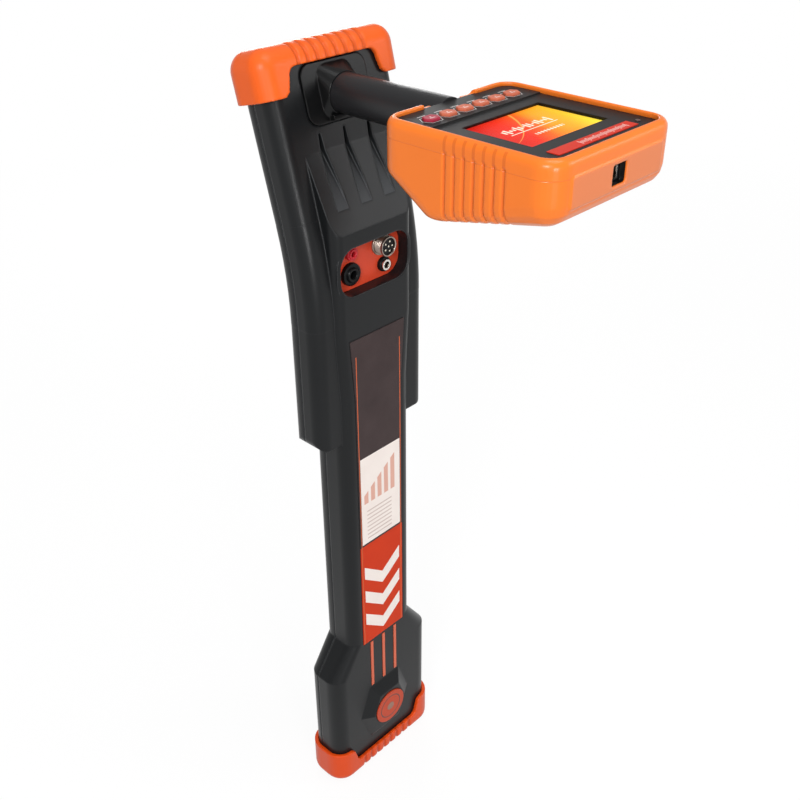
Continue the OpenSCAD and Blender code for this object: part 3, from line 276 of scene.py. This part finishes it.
# The foot rubber is a darker, redder copy of the orange rubber: painted shade.
footOrangeShaded = mouldedRubber("footOrangeShaded", (0.66, 0.056, 0.003), (0.76, 0.075, 0.006), bumperGroove)
bootRubber = paintBoot({
    "panelFront": -220.2 * mm, "panelHalf": 46 * mm, "panelRise": 9.2 * mm, "middle": 658.5 * mm,
    "mouthAcross": 1 * mm, "mouthHalf": 8.6 * mm, "mouthRise": 8 * mm, "mouthFront": -219.4 * mm,
    "mouthBack": -212 * mm, "seam": 667.5 * mm, "seamHalf": 0.35 * mm, "seamFront": -219.8 * mm,
    "sideAt": 60.2 * mm, "firstCut": -136.75 * mm, "cutPitch": 7.4 * mm, "cutShare": 0.3, "cuts": 7})
nickel = metal("nickel", (0.78, 0.74, 0.69), 0.2)
barrelNickel = metal("barrelNickel", (0.38, 0.32, 0.275), 0.33)
pinMetal = metal("pinMetal", (0.86, 0.8, 0.66), 0.22)
screwSteel = metal("screwSteel", (0.42, 0.42, 0.43), 0.34)
boardGreen = mouldedPlastic("boardGreen", (0.015, 0.13, 0.05), 0.35)
ferriteGrey = mouldedPlastic("ferriteGrey", (0.06, 0.06, 0.06), 0.55)
sleeveBlue = mouldedPlastic("sleeveBlue", (0.06, 0.11, 0.27), 0.3)
matGrey = mouldedPlastic("matGrey", (0.28, 0.28, 0.27), 0.6)
copperWinding = metal("copperWinding", (0.75, 0.3, 0.14), 0.3)


# Prints: plain generic forms in the places of the real ones.
def paintLabel(plan):
    f = Finish("labelPrint")
    x, z = f.place("XZ")
    side = abs(x)
    haze = f.noise(40, 4)
    fibre = f.noise(900, 2)
    dark = f.mix(haze, (0.036, 0.025, 0.025), (0.07, 0.05, 0.05))
    red = f.mix(haze, (0.56, 0.036, 0.009), (0.66, 0.052, 0.014))
    pale = f.mix(haze, (0.86, 0.76, 0.71), (0.95, 0.88, 0.83))
    run = (z - side * plan["rise"] - plan["firstTip"]) / plan["pitch"]
    arrows = both(run.join("FRACT") < plan["share"], run > 0, run < plan["count"], side < plan["arrowHalf"])
    paper = both(z > plan["paperLow"], z < plan["paperHigh"], side < plan["paperHalf"])
    rows = both(((z - plan["paperLow"]) / plan["rowPitch"]).join("FRACT") < plan["rowShare"],
                z < plan["rowsTop"], z > plan["rowsLow"], abs(x - plan["rowMid"]) < plan["rowHalf"])
    bars = both(((x + plan["barsHalf"]) / plan["barPitch"]).join("FRACT") < plan["barShare"],
                side < plan["barsHalf"], z > plan["barLow"], z < plan["barTop"] + x * plan["barRise"])
    line = both(side > plan["lineIn"], side < plan["lineOut"], z < plan["lineTop"])
    base = f.mix(z < plan["redTop"], dark, red)
    base = f.mix(arrows, base, pale)
    base = f.mix(paper, base, pale)
    base = f.mix(rows, base, (0.62, 0.5, 0.46))
    base = f.mix(bars, base, (0.74, 0.42, 0.34))
    base = f.mix(line, base, (0.62, 0.13, 0.05))
    f.set(Base_Color=base, Roughness=0.36 + haze * 0.14, Normal=f.bump(fibre, 0.06, 0.05 * mm, 0.4 * mm),
          Specular_IOR_Level=0.08)
    return f.material


labelPrint = paintLabel({
    "rise": 0.7727, "firstTip": 169.5 * mm, "pitch": 27.5 * mm, "share": 0.49, "count": 2.49,
    "arrowHalf": 22 * mm, "paperLow": 281 * mm, "paperHigh": 372 * mm, "paperHalf": 23.5 * mm,
    "rowPitch": 4.2 * mm, "rowShare": 0.3, "rowsLow": 285 * mm, "rowsTop": 318 * mm, "rowMid": -2 * mm,
    "rowHalf": 15 * mm, "barPitch": 8 * mm, "barShare": 0.62, "barsHalf": 20 * mm, "barLow": 324 * mm,
    "barTop": 348 * mm, "barRise": 0.75, "redTop": 279 * mm, "lineIn": 24 * mm, "lineOut": 24.9 * mm,
    "lineTop": 470 * mm})


def paintScreen(plan):
    f = Finish("screenPicture")
    x, y = f.place("XY")
    u = x / plan["half"]
    v = (y - plan["middle"]) / plan["half"]
    far = ((u + 1.5) * (u + 1.5) + (v - 0.9) * (v - 0.9)).join("SQRT")
    sweep = (far * 7.0).join("SINE") * 0.035
    glow = f.node("ShaderNodeValToRGB", {"stops": [
        (0.0, (0.5, 0.008, 0.006)), (0.3, (0.72, 0.025, 0.01)), (0.5, (0.86, 0.12, 0.012)),
        (0.68, (0.95, 0.36, 0.02)), (1.0, (0.97, 0.8, 0.06))]},
        {"Fac": u * 0.4 - v * 0.12 + 0.46 + sweep})
    beam = both(abs(far - 1.5 - v * 0.35) < 0.02 + u * 0.02, u > -0.95)
    glow = f.mix(beam * 0.45, glow, (0.95, 0.6, 0.12))
    step = ((u + plan["rowHalf"]) / plan["tick"]).join("FLOOR")
    along = ((u + plan["rowHalf"]) / plan["tick"]).join("FRACT") < 0.58
    tall = ((step * 1.9).join("SINE") + 1.4) * 0.045
    level = both(along, abs(u) < plan["rowHalf"], abs(v - plan["levelRow"]) < tall)
    squares = both(along, abs(u - 0.1) < plan["rowHalf"] * 0.6, abs(v - plan["dotRow"]) < 0.035)
    rule = both(abs(v - plan["ruleRow"]) < 0.011, abs(u) < plan["rowHalf"])
    picture = f.mix(either(level, squares, rule) * 0.85, glow, (0.95, 0.86, 0.7))
    cell = f.noise(2600, 0)
    f.set(Base_Color=f.mix(0.55 + cell * 0.2, picture, (0.02, 0.004, 0.002)), Emission_Color=picture,
          Emission_Strength=1.05, Roughness=0.4, Specular_IOR_Level=0.05)
    return f.material


screenPicture = paintScreen({"half": 38 * mm, "middle": -158.95 * mm, "rowHalf": 0.6, "tick": 0.08,
                             "levelRow": 0.16, "dotRow": -0.22, "ruleRow": 0.0})


def paintFace(plan):
    f = Finish("facePrint")
    x, y = f.place("XY")
    grain = f.noise(1600, 2)
    cloud = f.noise(12, 3)
    across = abs((x / plan["pitch"]).join("FRACT") - 0.5) * plan["pitch"]
    along = y - plan["keyRow"]
    ray = abs(along)
    reach = (ray / plan["keyHalf"]).join("MAXIMUM", (across + ray * plan["slant"]) / plan["keyWide"])
    inRow = abs(x) < 3 * plan["pitch"]
    ring = both(reach > plan["ringIn"], reach < plan["ringOut"], inRow)
    marks = both(abs(along - plan["markUp"]) < plan["markRise"], across < plan["markHalf"], inRow,
                 ((x + y) / plan["markPitch"]).join("FRACT") < plan["markShare"])
    bezel = both(abs(x) < plan["bezelWide"], abs(y - plan["screenMid"]) < plan["bezelHalf"])
    plain = f.mix(cloud, (0.009, 0.0088, 0.009), (0.017, 0.0165, 0.017))
    plain = f.mix(bezel, plain, (0.004, 0.004, 0.004))
    f.set(Base_Color=f.mix(either(ring, marks) * 0.8, plain, (0.75, 0.72, 0.7)),
          Roughness=0.38 + cloud * 0.16,
          Normal=f.bump(grain, 0.12, 0.08 * mm, 0.5 * mm),
          Specular_IOR_Level=0.2)
    return f.material


facePrint = paintFace({
    "pitch": 15.7 * mm, "keyRow": -109.45 * mm, "keyHalf": 4.5 * mm, "keyWide": 6.25 * mm,
    "slant": 2.6 / 4.5, "ringIn": 1.2, "ringOut": 1.29, "markUp": 8.6 * mm, "markRise": 0.55 * mm,
    "markHalf": 3.6 * mm, "markPitch": 1.7 * mm, "markShare": 0.72, "bezelWide": 39.6 * mm,
    "bezelHalf": 28.1 * mm, "screenMid": -158.95 * mm})


def paintPlain(name, low, high, rough):
    f = Finish(name)
    cloud = f.noise(60, 4)
    grain = f.noise(1500, 2)
    f.set(Base_Color=f.mix(cloud, low, high), Roughness=rough + (cloud - 0.5) * 0.14, Coat_Weight=0.05,
          Normal=f.bump(grain, 0.1, 0.06 * mm, 0.3 * mm), Specular_IOR_Level=0.3)
    return f.material


stripeOrange = paintPlain("stripeOrange", (0.6, 0.1, 0.045), (0.7, 0.14, 0.065), 0.4)
panelRed = paintPlain("panelRed", (0.56, 0.045, 0.016), (0.66, 0.066, 0.024), 0.42)


def paintKey(name, low, high, plan):
    f = Finish(name)
    x, y = f.place("XY")
    cloud = f.noise(60, 4)
    across = ((x / plan["pitch"]).join("FRACT") - 0.5) * plan["pitch"]
    along = y - plan["row"]
    dash, dot = (both(abs(across) < m["half"], abs(along - m["up"]) < m["rise"])
                 for m in (plan["dash"], plan["dot"]))
    base = f.mix(cloud, low, high)
    f.set(Base_Color=f.mix(either(dash, dot) * 0.75, base, (0.85, 0.78, 0.74)),
          Roughness=0.42 + cloud * 0.14,
          Normal=f.bump(cloud, 0.05, 0.05 * mm),
          Specular_IOR_Level=0.25)
    return f.material


keyPrint = {"pitch": 15.7 * mm, "row": -109.45 * mm,
            "dash": {"half": 2.2 * mm, "up": -1.1 * mm, "rise": 0.35 * mm},
            "dot": {"half": 0.6 * mm, "up": 0.9 * mm, "rise": 0.6 * mm}}
keyRed = paintKey("keyRed", (0.34, 0.016, 0.04), (0.42, 0.026, 0.06), keyPrint)
keySalmon = paintKey("keySalmon", (0.52, 0.11, 0.055), (0.62, 0.16, 0.085), keyPrint)


def paintStrip(plan):
    f = Finish("stripRed")
    x, y = f.place("XY")
    cloud = f.noise(60, 4)
    run = (x - plan["from"]) / plan["tick"]
    fifth = (run.join("FLOOR") / 5).join("FRACT") < 0.1
    tall = fifth * plan["longer"] + plan["short"]
    ticks = both(run.join("FRACT") < 0.5, run > 0, run < plan["count"], abs(y - plan["row"]) < tall)
    base = f.mix(cloud, (0.58, 0.028, 0.014), (0.68, 0.042, 0.02))
    f.set(Base_Color=f.mix(ticks * 0.85, base, (0.86, 0.62, 0.56)), Roughness=0.42 + cloud * 0.12,
          Normal=f.bump(cloud, 0.04, 0.05 * mm, 0.2 * mm), Specular_IOR_Level=0.12)
    return f.material


stripRed = paintStrip({"from": -14 * mm, "tick": 1.55 * mm, "count": 31, "row": -201.45 * mm,
                       "short": 1.5 * mm, "longer": 1.1 * mm})


def paintBadge(plan):
    f = Finish("badgePrint")
    x, z = f.place("XZ")
    far = (x * x + (z - plan["middle"]) * (z - plan["middle"])).join("SQRT")
    haze = f.noise(120, 3)
    face = f.mix(haze, (0.46, 0.046, 0.015), (0.56, 0.066, 0.022))
    ring = both(far > plan["ringIn"], far < plan["ringOut"])
    f.set(Base_Color=f.mix(ring, face, (0.07, 0.05, 0.045)), Roughness=0.4 + haze * 0.1, Coat_Weight=0.05,
          Normal=f.bump(haze, 0.06, 0.05 * mm, 0.5 * mm), Specular_IOR_Level=0.2)
    return f.material


badgePrint = paintBadge({"middle": 67 * mm, "ringIn": 12.4 * mm, "ringOut": 13.4 * mm})
badgeDot = paintPlain("badgeDot", (0.24, 0.11, 0.07), (0.34, 0.17, 0.12), 0.34)


def paintPane():
    f = Finish("clearPane")
    dust = f.noise(300, 3)
    f.set(Base_Color=f.mix(dust, (0.004, 0.004, 0.004), (0.012, 0.01, 0.01)),
          Roughness=0.04 + dust * 0.06, Alpha=0.02 + dust * 0.02)
    return f.material


clearPane = paintPane()


def paintLamp():
    f = Finish("lampLens")
    haze = f.noise(800, 2)
    f.set(Base_Color=f.mix(haze, (0.03, 0.016, 0.014), (0.07, 0.035, 0.03)),
          Roughness=0.15 + haze * 0.1, Coat_Weight=0.3)
    return f.material


lampLens = paintLamp()
print("finishes made")


def paint(piece, finish):
    piece.data.materials.clear()
    piece.data.materials.append(finish)


# The CAD nodes that show as they are. The others are stood for by pieces below.
def dress(material, *names):
    for n in names:
        paint(nodes[n], material)


dress(bodyDark, "front_shell", "rear_shell", "display_housing")
dress(plateShaded, "handle_plate")
dress(gripDark, "handle_tube")
dress(socketBlack, "signal_insert", "handle_harness", "sounder")
dress(nickel, "charge_sleeve", "usb_socket")
dress(pinMetal, "signal_pins")
dress(screwSteel, "plate_screws", "socket_nuts")
dress(boardGreen, "main_board", "display_board")
dress(ferriteGrey, *[n for n in nodes if n.endswith("antenna_rod")])
dress(sleeveBlue, "battery_pack")
dress(matGrey, "keypad_mat")
dress(labelPrint, "front_label")
dress(stripeOrange, "foot_stripes")
dress(badgePrint, "badge_disc")
dress(badgeDot, "badge_centre")
dress(panelRed, "connector_panel")
dress(facePrint, "faceplate")
dress(screenPicture, "lcd_module")
dress(clearPane, "lcd_window")
dress(stripRed, "label_strip")
dress(lampLens, "status_led")
dress(copperWinding, *[n for n in nodes if n.endswith("antenna_coil")])


# Helpers for the modelled pieces.
def editOn(piece):
    bpy.ops.object.select_all(action="DESELECT")
    piece.select_set(True)
    bpy.context.view_layer.objects.active = piece
    bpy.ops.object.mode_set(mode="EDIT")
    bpy.ops.mesh.select_all(action="SELECT")


def editOff():
    bpy.ops.object.mode_set(mode="OBJECT")


def applyAll(piece):
    bpy.context.view_layer.objects.active = piece
    for m in list(piece.modifiers):
        bpy.ops.object.modifier_apply(modifier=m.name)


def mergedCopy(name, node):
    piece = bpy.data.objects.new(name, nodes[node].data.copy())
    bpy.context.scene.collection.objects.link(piece)
    editOn(piece)
    bpy.ops.mesh.remove_doubles(threshold=1e-6)
    return piece


def settle(piece, name, finish, body, angle=35):
    bpy.ops.object.select_all(action="DESELECT")
    piece.select_set(True)
    bpy.context.view_layer.objects.active = piece
    bpy.ops.object.transform_apply(location=True, rotation=True, scale=True)
    bpy.ops.object.shade_smooth_by_angle(angle=math.radians(angle))
    piece.name = name
    paint(piece, finish)
    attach(piece, body)


# Rubber pieces are softened copies of their solids.
softPlans = {
    "capRubber": {"node": "top_bumper", "voxel": 0.8 * mm, "rounds": 4, "keep": 0.6, "finish": orangeRubber},
    "footRubber": {"node": "foot_boot", "voxel": 0.8 * mm, "rounds": 4, "keep": 0.6, "finish": footOrangeShaded},
    "bootRubber": {"node": "display_boot", "voxel": 0.75 * mm, "rounds": 3, "keep": 0.45, "finish": bootRubber},
}


def softCopy(name, plan):
    piece = mergedCopy(name, plan["node"])
    bpy.ops.mesh.normals_make_consistent(inside=False)
    editOff()
    grid = piece.modifiers.new("grid", "REMESH")
    grid.mode = "VOXEL"
    grid.voxel_size = plan["voxel"]
    ease = piece.modifiers.new("ease", "SMOOTH")
    ease.factor = 0.5
    ease.iterations = plan["rounds"]
    thin = piece.modifiers.new("thin", "DECIMATE")
    thin.ratio = plan["keep"]
    applyAll(piece)
    bpy.ops.object.shade_smooth()
    paint(piece, plan["finish"])
    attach(piece, "wand")
    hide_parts(plan["node"])
    print(name, len(piece.data.polygons), "faces")


for softName, softPlan in softPlans.items():
    softCopy(softName, softPlan)


# One key is modelled and copied six times.
keyPlan = {"wide": 12.5 * mm, "long": 9 * mm, "edge": 2.6 * mm, "low": 671 * mm, "top": 678.7 * mm,
           "row": -109.45 * mm, "pitch": 15.7 * mm, "inset": 2.2 * mm, "dish": 0.35 * mm,
           "round": 0.75 * mm, "roundSteps": 4, "roundFrom": 25}


def makeKey(plan):
    bpy.ops.object.select_all(action="DESELECT")
    bpy.ops.mesh.primitive_circle_add(vertices=6, radius=1, fill_type="NGON",
                                      location=(0, plan["row"], plan["low"]))
    piece = bpy.context.object
    half, reach, cut = plan["wide"] / 2, plan["long"] / 2, plan["edge"]
    corners = [(half, 0), (half - cut, reach), (cut - half, reach), (-half, 0), (cut - half, -reach),
               (half - cut, -reach)]
    for v, corner in zip(piece.data.vertices, corners):
        v.co = (*corner, 0)
    editOn(piece)
    bpy.ops.mesh.extrude_region_move(TRANSFORM_OT_translate={"value": (0, 0, plan["top"] - plan["low"])})
    bpy.ops.mesh.inset(thickness=plan["inset"])
    bpy.ops.transform.translate(value=(0, 0, -plan["dish"]))
    bpy.ops.mesh.select_all(action="SELECT")
    bpy.ops.mesh.normals_make_consistent(inside=False)
    editOff()
    bevel = piece.modifiers.new("round", "BEVEL")
    bevel.width = plan["round"]
    bevel.segments = plan["roundSteps"]
    bevel.limit_method = "ANGLE"
    bevel.angle_limit = math.radians(plan["roundFrom"])
    applyAll(piece)
    return piece


keyMould = makeKey(keyPlan)
for k in range(6):
    cap = keyMould.copy()
    cap.data = keyMould.data.copy()
    bpy.context.scene.collection.objects.link(cap)
    cap.location.x = (k - 2.5) * keyPlan["pitch"]
    node = "key_%d" % (k + 1)
    finish, slot = (keyRed, "key_red") if k == 0 else (keySalmon, "key_salmon")
    settle(cap, "keyCap_%d" % (k + 1), finish, node)
    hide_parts(node)
bpy.data.objects.remove(keyMould)
print("keys made")


# The sockets are turned profiles: radius and height over the panel, in millimetres.
panelFront = -8.5 * mm
socketPlans = {
    "signalBarrel": {"node": "signal_shell", "finish": barrelNickel, "slot": "nickel",
                     "sides": 64, "body": 6.5,
                     "rim": [(9.2, 0), (9.2, 1.1), (8.8, 1.6), (7.6, 1.6)],
                     "thread": {"from": 1.9, "to": 9.0, "pitch": 0.85, "low": 7.55, "high": 8.0},
                     "mouth": [(8.0, 9.3), (7.75, 10.0), (7.15, 10.0), (6.8, 9.6), (6.8, 1.0)]},
    "voltSocket": {"node": "banana_socket", "finish": socketRed, "slot": "socket_red",
                   "sides": 48, "body": 3.6,
                   "rim": [(5.5, 0), (5.5, 2.7), (5.3, 3.3), (4.8, 3.5), (4.15, 3.5), (4.0, 3.7), (4.0, 4.2)],
                   "mouth": [(3.75, 4.5), (2.75, 4.5), (2.4, 4.2), (2.05, 4.0), (2.05, -6.0)]},
    "phoneSocket": {"node": "phone_jack", "finish": socketBlack, "slot": "socket_black",
                    "sides": 56, "body": 6.5,
                    "rim": [(9.0, 0), (9.0, 2.6), (8.7, 3.3), (8.2, 3.5), (7.1, 3.5), (6.9, 3.1), (6.1, 3.1),
                            (5.9, 3.5), (5.5, 4.6)],
                    "mouth": [(5.1, 5.0), (4.0, 5.0), (3.5, 4.6), (3.25, 4.4), (3.25, -6.0)]},
    "chargeRing": {"node": "charge_body", "finish": socketBlack, "slot": "socket_black",
                   "sides": 48, "body": 5.0,
                   "rim": [(6.0, 0), (6.0, 2.2), (5.7, 2.8)],
                   "mouth": [(5.3, 3.0), (4.7, 3.0), (4.4, 2.7), (4.4, -6.0)]},
}


def turned(steps, sides):
    bpy.ops.object.select_all(action="DESELECT")
    bpy.ops.mesh.primitive_circle_add(vertices=sides, radius=steps[0][0] * mm, fill_type="NGON",
                                      location=(0, 0, 0))
    piece = bpy.context.object
    piece.data.transform(Matrix.Translation((0, 0, steps[0][1] * mm)))
    editOn(piece)
    for (wide, low), (nextWide, high) in zip(steps, steps[1:]):
        bpy.ops.mesh.extrude_region_move(TRANSFORM_OT_translate={"value": (0, 0, (high - low) * mm)})
        if nextWide != wide:
            share = nextWide / wide
            bpy.ops.transform.resize(value=(share, share, 1), center_override=(0, 0, high * mm))
    bpy.ops.mesh.select_all(action="SELECT")
    bpy.ops.mesh.normals_make_consistent(inside=False)
    editOff()
    return piece


def makeSocket(name, plan):
    low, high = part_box(plan["node"])
    rear = (panelFront - high[1]) / mm
    steps = [(plan["body"], rear), (plan["body"], 0)] + plan["rim"]
    if "thread" in plan:
        cut = plan["thread"]
        turns = int((cut["to"] - cut["from"]) / cut["pitch"])
        for k in range(turns):
            start = cut["from"] + k * cut["pitch"]
            steps += [(cut["low"], start), (cut["high"], start + 0.4 * cut["pitch"]),
                      (cut["high"], start + 0.6 * cut["pitch"])]
    piece = turned(steps + plan["mouth"], plan["sides"])
    piece.rotation_euler = (math.pi / 2, 0, 0)
    piece.location = ((low[0] + high[0]) / 2, panelFront, (low[2] + high[2]) / 2)
    settle(piece, name, plan["finish"], "wand", 28)
    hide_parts(plan["node"])


for socketName, socketPlan in socketPlans.items():
    makeSocket(socketName, socketPlan)
print("sockets made")


# Screws stand where the solids have them, with six-sided sockets in their heads.
screwNodes = {"shellScrews": "shell_screws", "displayScrews": "display_screws"}
screwPlan = {"sides": 24, "head": 2.9, "rise": 2.2, "shaft": 1.5, "tip": 0.8, "socket": 1.25, "deep": 1.3}


def looseParts(node):
    mergedCopy("looseCopy", node)
    bpy.ops.mesh.separate(type="LOOSE")
    editOff()
    return list(bpy.context.selected_objects)


def screwAxis(part):
    points = [v.co.copy() for v in part.data.vertices]
    first = max(points, key=lambda p: (p - points[0]).length)
    ends = [first, max(points, key=lambda p: (p - first).length)]
    middle = (ends[0] + ends[1]) / 2
    span = ends[0] - ends[1]
    nearEnd = span.length * 0.42
    groups = [[p for p in points if (p - middle).dot(span.normalized()) * sign > nearEnd] for sign in (1, -1)]
    centres = [sum(g, Vector()) / len(g) for g in groups]
    spans = [max((p - c).length for p in g) for g, c in zip(groups, centres)]
    top, tip = (0, 1) if spans[0] > spans[1] else (1, 0)
    axis = (centres[top] - centres[tip]).normalized()
    along = [p.dot(axis) for p in points]
    return axis, centres[top] + axis * (max(along) - centres[top].dot(axis)), (max(along) - min(along)) / mm


def makeScrews(name, node, plan):
    made = []
    head, rise, shaft, socket, deep = (plan[k] for k in ("head", "rise", "shaft", "socket", "deep"))
    for part in looseParts(node):
        axis, top, long = screwAxis(part)
        bpy.data.objects.remove(part)
        screw = turned([(shaft * 0.6, -long), (shaft, plan["tip"] - long), (shaft, -rise), (head, -rise),
                        (head, -0.8), (head * 0.92, -0.3), (head * 0.78, 0), (socket, 0), (socket, -deep)],
                       plan["sides"])
        for v in screw.data.vertices:  # the round socket becomes six-sided
            if abs(v.co.xy.length - socket * mm) < 1e-5 and v.co.z > -(deep + 0.1) * mm:
                turn = math.atan2(v.co.y, v.co.x) % (math.pi / 3) - math.pi / 6
                v.co.xy *= 0.93 / math.cos(turn)
        screw.matrix_world = Matrix.Translation(top) @ axis.to_track_quat("Z", "Y").to_matrix().to_4x4()
        made.append(screw)
    bpy.ops.object.select_all(action="DESELECT")
    for screw in made:
        screw.select_set(True)
    bpy.context.view_layer.objects.active = made[0]
    bpy.ops.object.join()
    settle(made[0], name, screwSteel, "wand", 30)
    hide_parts(node)


for screwName, screwNode in screwNodes.items():
    makeScrews(screwName, screwNode, screwPlan)
print("screws made")


# The floor and the sky look white, and the floor keeps the shadow near the wand.
studio = {"floorSize": 30, "floorGrey": 0.34, "floorSeen": 0.95, "zenith": 0.62, "horizon": 0.22,
          "whiteShare": 0.9, "bandTop": 0.3, "shadeEnd": 0.9, "shadeFade": 1.2}
eyeRays = ("Is Camera Ray",)
shineRays = ("Is Glossy Ray", "Is Transmission Ray")


def raysOf(tree, kinds):
    rays = tree.nodes.new("ShaderNodeLightPath")
    return either(*[Wire(tree, rays.outputs[k]) for k in kinds])


def makeFloor(plan):
    bpy.ops.object.select_all(action="DESELECT")
    bpy.ops.mesh.primitive_plane_add(size=plan["floorSize"], location=(0, 0, 0))
    floor = bpy.context.object
    floor.name = "paleFloor"
    f = Finish("paleFloor")
    seen = raysOf(f.tree, eyeRays + shineRays)
    x, y = f.place("XY")
    far = ((x * x + y * y).join("SQRT") - plan["shadeEnd"]) / plan["shadeFade"]
    share = far.join("MAXIMUM", 0.0).join("MINIMUM", 1.0) * (1 - plan["whiteShare"]) + plan["whiteShare"]
    f.set(Base_Color=f.mix(seen, (plan["floorGrey"],) * 3, (plan["floorSeen"],) * 3), Roughness=0.9)
    white = f.node("ShaderNodeEmission", links={"Color": (1, 1, 1), "Strength": 1.0})
    blendIn = f.node("ShaderNodeMixShader", links={
        0: seen * share, 1: Wire(f.tree, f.shader.outputs[0]), 2: white})
    f.tree.links.new(blendIn.socket, f.tree.nodes["Material Output"].inputs["Surface"])
    floor.data.materials.append(f.material)


def makeSky(plan):
    world = bpy.data.worlds.new("paleWorld")
    world.use_nodes = True
    tree = world.node_tree
    look = tree.nodes.new("ShaderNodeTexCoord")
    split = tree.nodes.new("ShaderNodeSeparateXYZ")
    tree.links.new(look.outputs["Generated"], split.inputs[0])
    rise = Wire(tree, split.outputs["Z"]).join("MAXIMUM", 0.0)
    light = rise * (plan["zenith"] - plan["horizon"]) + plan["horizon"]
    low = 1 - rise / plan["bandTop"]
    band = low.join("MAXIMUM", 0.0).join("MINIMUM", 0.5) * 2  # reflections see white low down
    sky = tree.nodes["Background"]
    sky.inputs["Color"].default_value = (1, 1, 1, 1)
    white = either(raysOf(tree, eyeRays), band * raysOf(tree, shineRays))
    plug(tree, sky.inputs["Strength"], light + (1 - light) * white)
    bpy.context.scene.world = world


lamps = {
    "keyLamp": {"at": (-1.45, -0.95, 1.45), "aim": (0, -0.08, 0.5), "size": 0.5, "power": 21},
    "topLamp": {"at": (0.1, -0.5, 2.1), "aim": (0, -0.1, 0.5), "size": 0.9, "power": 9},
    "frontLamp": {"at": (-0.75, -1.65, 0.6), "aim": (0, 0, 0.45), "size": 0.4, "power": 10},
    "sideLamp": {"at": (1.2, -1.3, 1.15), "aim": (0, 0, 0.45), "size": 0.6, "power": 4.5},
    "backLamp": {"at": (1.3, 1.6, 0.8), "aim": (0, 0, 0.4), "size": 0.9, "power": 13},
}


def makeLamp(name, plan):
    data = bpy.data.lights.new(name, "AREA")
    data.shape = "DISK"
    data.size = plan["size"]
    data.energy = plan["power"]
    lamp = bpy.data.objects.new(name, data)
    bpy.context.scene.collection.objects.link(lamp)
    lamp.location = plan["at"]
    look = Vector(plan["aim"]) - Vector(plan["at"])
    lamp.rotation_euler = look.to_track_quat("-Z", "Y").to_euler()


makeFloor(studio)
makeSky(studio)
for lampName, lampPlan in lamps.items():
    makeLamp(lampName, lampPlan)
print("studio made")
